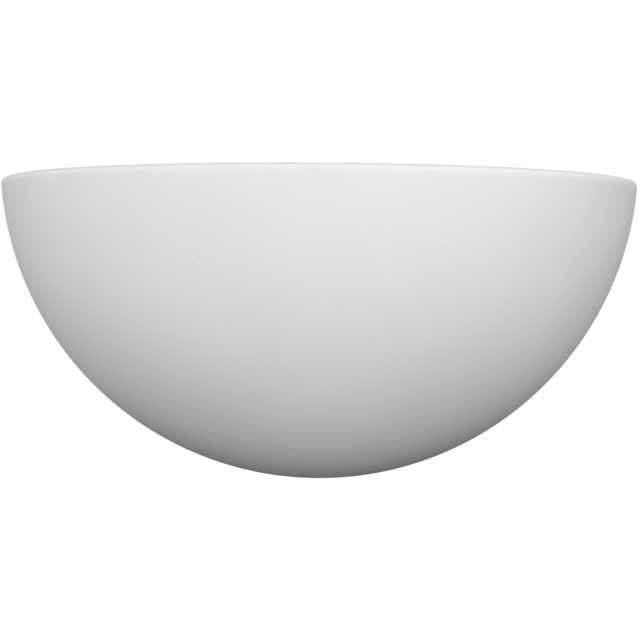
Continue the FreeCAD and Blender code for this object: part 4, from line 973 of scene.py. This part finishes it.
def globe_arc(radius, steps):
    """Points of the globe's outline from its base up to the top."""
    lowest = math.asin((GLOBE_BASE - LAMP_CENTRE) / radius)
    angles = [lowest + (math.pi / 2 - lowest) * step / steps for step in range(steps + 1)]
    arc = [(radius * math.cos(angle), LAMP_CENTRE + radius * math.sin(angle)) for angle in angles]
    return arc[:-1] + [(0.0, LAMP_CENTRE + radius)]


globe = globe_arc(GLOBE_RADIUS, 48) + globe_arc(GLOBE_RADIUS - GLOBE_WALL, 32)[::-1]
settle(turned("globe_opal", globe, "opal", HOLDER, ease=0.0, segments=128), "lamp", "lamp_globe")

lamp_housing = [(6.5, -15.1), (9.5, -15.1), (18.905, 4.0), (17.505, 4.0), (8.8, -13.7), (6.5, -13.7)]
settle(turned("housing_shell", lamp_housing, "lamp_housing", HOLDER, ease=0.3, steps=3, segments=128),
       "lamp", "lamp_body")

screw_cap = [(5.9, -37.5), (6.5, -37.5), (6.95, -37.05), (6.95, -16.9), (7.3, -16.9), (7.3, -15.1),
             (6.5, -15.1), (6.5, -17.0), (6.05, -17.4), (6.05, -36.6), (5.9, -36.6)]
screw_cap_piece = turned("screw_cap_rolled", screw_cap, "nickel_cap", HOLDER, spacing=0.3,
                         thread_depth=0.55 * MM, thread_low=-37.0 * MM, thread_high=-18.2 * MM,
                         worked_radius=6.3 * MM, **LAMP_THREAD)
settle(screw_cap_piece, "lamp", "lamp_screw_cap")

# %% Turn the lamp's tip and light carrier
insulator = [(0, -40.3), (2.65, -40.3), (6.5, -38.34), (6.5, -37.5), (0, -37.5)]
settle(turned("insulator_glass", insulator, "black_glass", HOLDER, ease=0.2, steps=3),
       "lamp", "lamp_insulator")
tip = [(0, -41.3), (1.15, -41.3), (2.3, -40.8), (2.3, -40.3), (0, -40.3)]
settle(turned("contact_tip", tip, "nickel_cap", HOLDER, ease=0.15, steps=2, segments=40),
       "lamp", "lamp_contact")
carrier = [(0, 2.8), (16.1, 2.8), (16.1, 4.0), (0, 4.0)]
settle(turned("light_carrier", carrier, "led_board", HOLDER, ease=0.1, steps=1, segments=96),
       "lamp", "lamp_led_board")

# %% [markdown]
# ## Leads
# Three leads with plastic covers run from the lampholder and the earth terminal to the terminal block.
# Each follows a smooth NURBS line through the same points as its solid. Geometry Nodes sweep a circle
# along it and keep two attributes, the distance along and the share of the way round, so that the finish
# can draw the earth lead's stripe and the faint lines of the extruder along the lead.

# %% Build the lead tree
LEAD = {"lead radius": 1.0 * MM, "sides": 20, "spacing": 0.8 * MM}
lead_tree, in_lead, lead_entry, lead_size = start_tree("lead_cover", LEAD)
lead_tree.interface.new_socket("route", in_out="INPUT", socket_type="NodeSocketObject")
route_input = in_lead("GeometryNodeObjectInfo", {"Object": lead_entry.outputs["route"]})
line = in_lead("GeometryNodeResampleCurve",
               {"Curve": route_input.outputs["Geometry"], "Length": lead_size["spacing"]}, mode="LENGTH")
ring = in_lead("GeometryNodeCurvePrimitiveCircle",
               {"Resolution": lead_size["sides"], "Radius": lead_size["lead radius"]})


def marked(curve, output, name):
    """Keep where a point lies on its curve as a named attribute."""
    spline = in_lead("GeometryNodeSplineParameter")
    return in_lead("GeometryNodeStoreNamedAttribute",
                   {"Geometry": curve, "Name": name, "Value": spline.outputs[output]},
                   data_type="FLOAT", domain="POINT")


tube = in_lead("GeometryNodeCurveToMesh", {
    "Curve": marked(line, "Length", "along"), "Profile Curve": marked(ring, "Factor", "around"),
    "Fill Caps": True})
end_tree(lead_tree, lead_entry, tube)


# %% Make the covers of the leads
def cover(name, colour, second, stripe=None):
    """Extruded plastic: faint lines along the lead, a slow change of tone, and perhaps two stripes."""
    skin = Finish(name, colour, 0.42)
    along = Term(skin.tree, skin.add("ShaderNodeAttribute", attribute_name="along").outputs["Fac"])
    around = Term(skin.tree, skin.add("ShaderNodeAttribute", attribute_name="around").outputs["Fac"])
    lines = skin.noise(1.0, 3.0, place=vector(skin.tree, along * 60.0, around * 40.0))
    cloud = skin.noise(0.006, 3.0)
    tone = skin.mix(skin.spread(cloud, 0.35, 0.65), colour, second)
    if stripe:
        striped = skin.spread(abs((around * 2.0 + 0.15).math("FRACT") - 0.5), 0.20, 0.23, 1.0, 0.0)
        tone = skin.mix(striped, tone, stripe)
    skin.paint(colour=tone, roughness=skin.spread(lines, 0.3, 0.7, 0.34, 0.52))
    skin.bump(lines, 0.00002)


cover("brown_cover", (0.16, 0.065, 0.030), (0.20, 0.085, 0.040))
cover("blue_cover", (0.030, 0.13, 0.42), (0.045, 0.17, 0.50))
cover("earth_cover", (0.11, 0.36, 0.07), (0.14, 0.42, 0.09), stripe=(0.80, 0.68, 0.06))

# %% Lay the leads
ROUTES = {
    "lead_live": ("brown_cover", (
        (4, -52, -48.9), (4, -52, -53.5), (1.5, -52, -62), (1.5, -52, -79), (7.5, -34, -79.5),
        (19.6, -9, -77), (19.6, -9, -62), (19.6, -9, -45), (19.6, -9, -37), (46, -10.5, -34),
        (74, -7.5, -27), (74, -7.5, -14), (74, -7.5, -1.5))),
    "lead_neutral": ("blue_cover", (
        (-4, -52, -48.9), (-4, -52, -53.5), (-1.5, -52, -62), (-1.5, -52, -79), (4.5, -34, -79.5),
        (17, -9, -77), (17, -9, -62), (17, -9, -45), (17, -9, -31), (42, -10, -26), (62, -7.5, -20),
        (62, -7.5, -13), (62, -7.5, -1.5))),
    "lead_earth": ("earth_cover", (
        (-24.25, -3.4, -23.18), (-20.6, -3.4, -20.1), (-16.98, -3.4, -17.07), (0, -5, -16.2),
        (18, -5.5, -18.5), (36, -6.5, -19.5), (50, -7.5, -18.5), (50, -7.5, -12), (50, -7.5, -1.5))),
}


def route_of(name, points):
    """A NURBS line that eases round the points of a route."""
    curve = bpy.data.curves.new(name, "CURVE")
    curve.dimensions = "3D"
    spline = curve.splines.new("NURBS")
    spline.points.add(len(points) - 1)
    for point, place in zip(spline.points, points):
        point.co = (*(Vector(place) * MM), 1.0)
    spline.order_u = 3
    spline.use_endpoint_u = True
    spline.resolution_u = 12
    return new_piece(f"{name}_route", curve)


for name, (slot, points) in ROUTES.items():
    line_object = route_of(name, points)
    piece = grow(f"{name}_cover", lead_tree, slot, route=line_object)
    outward(piece.data)
    bpy.data.objects.remove(line_object)
    settle(piece, "bracket", name)
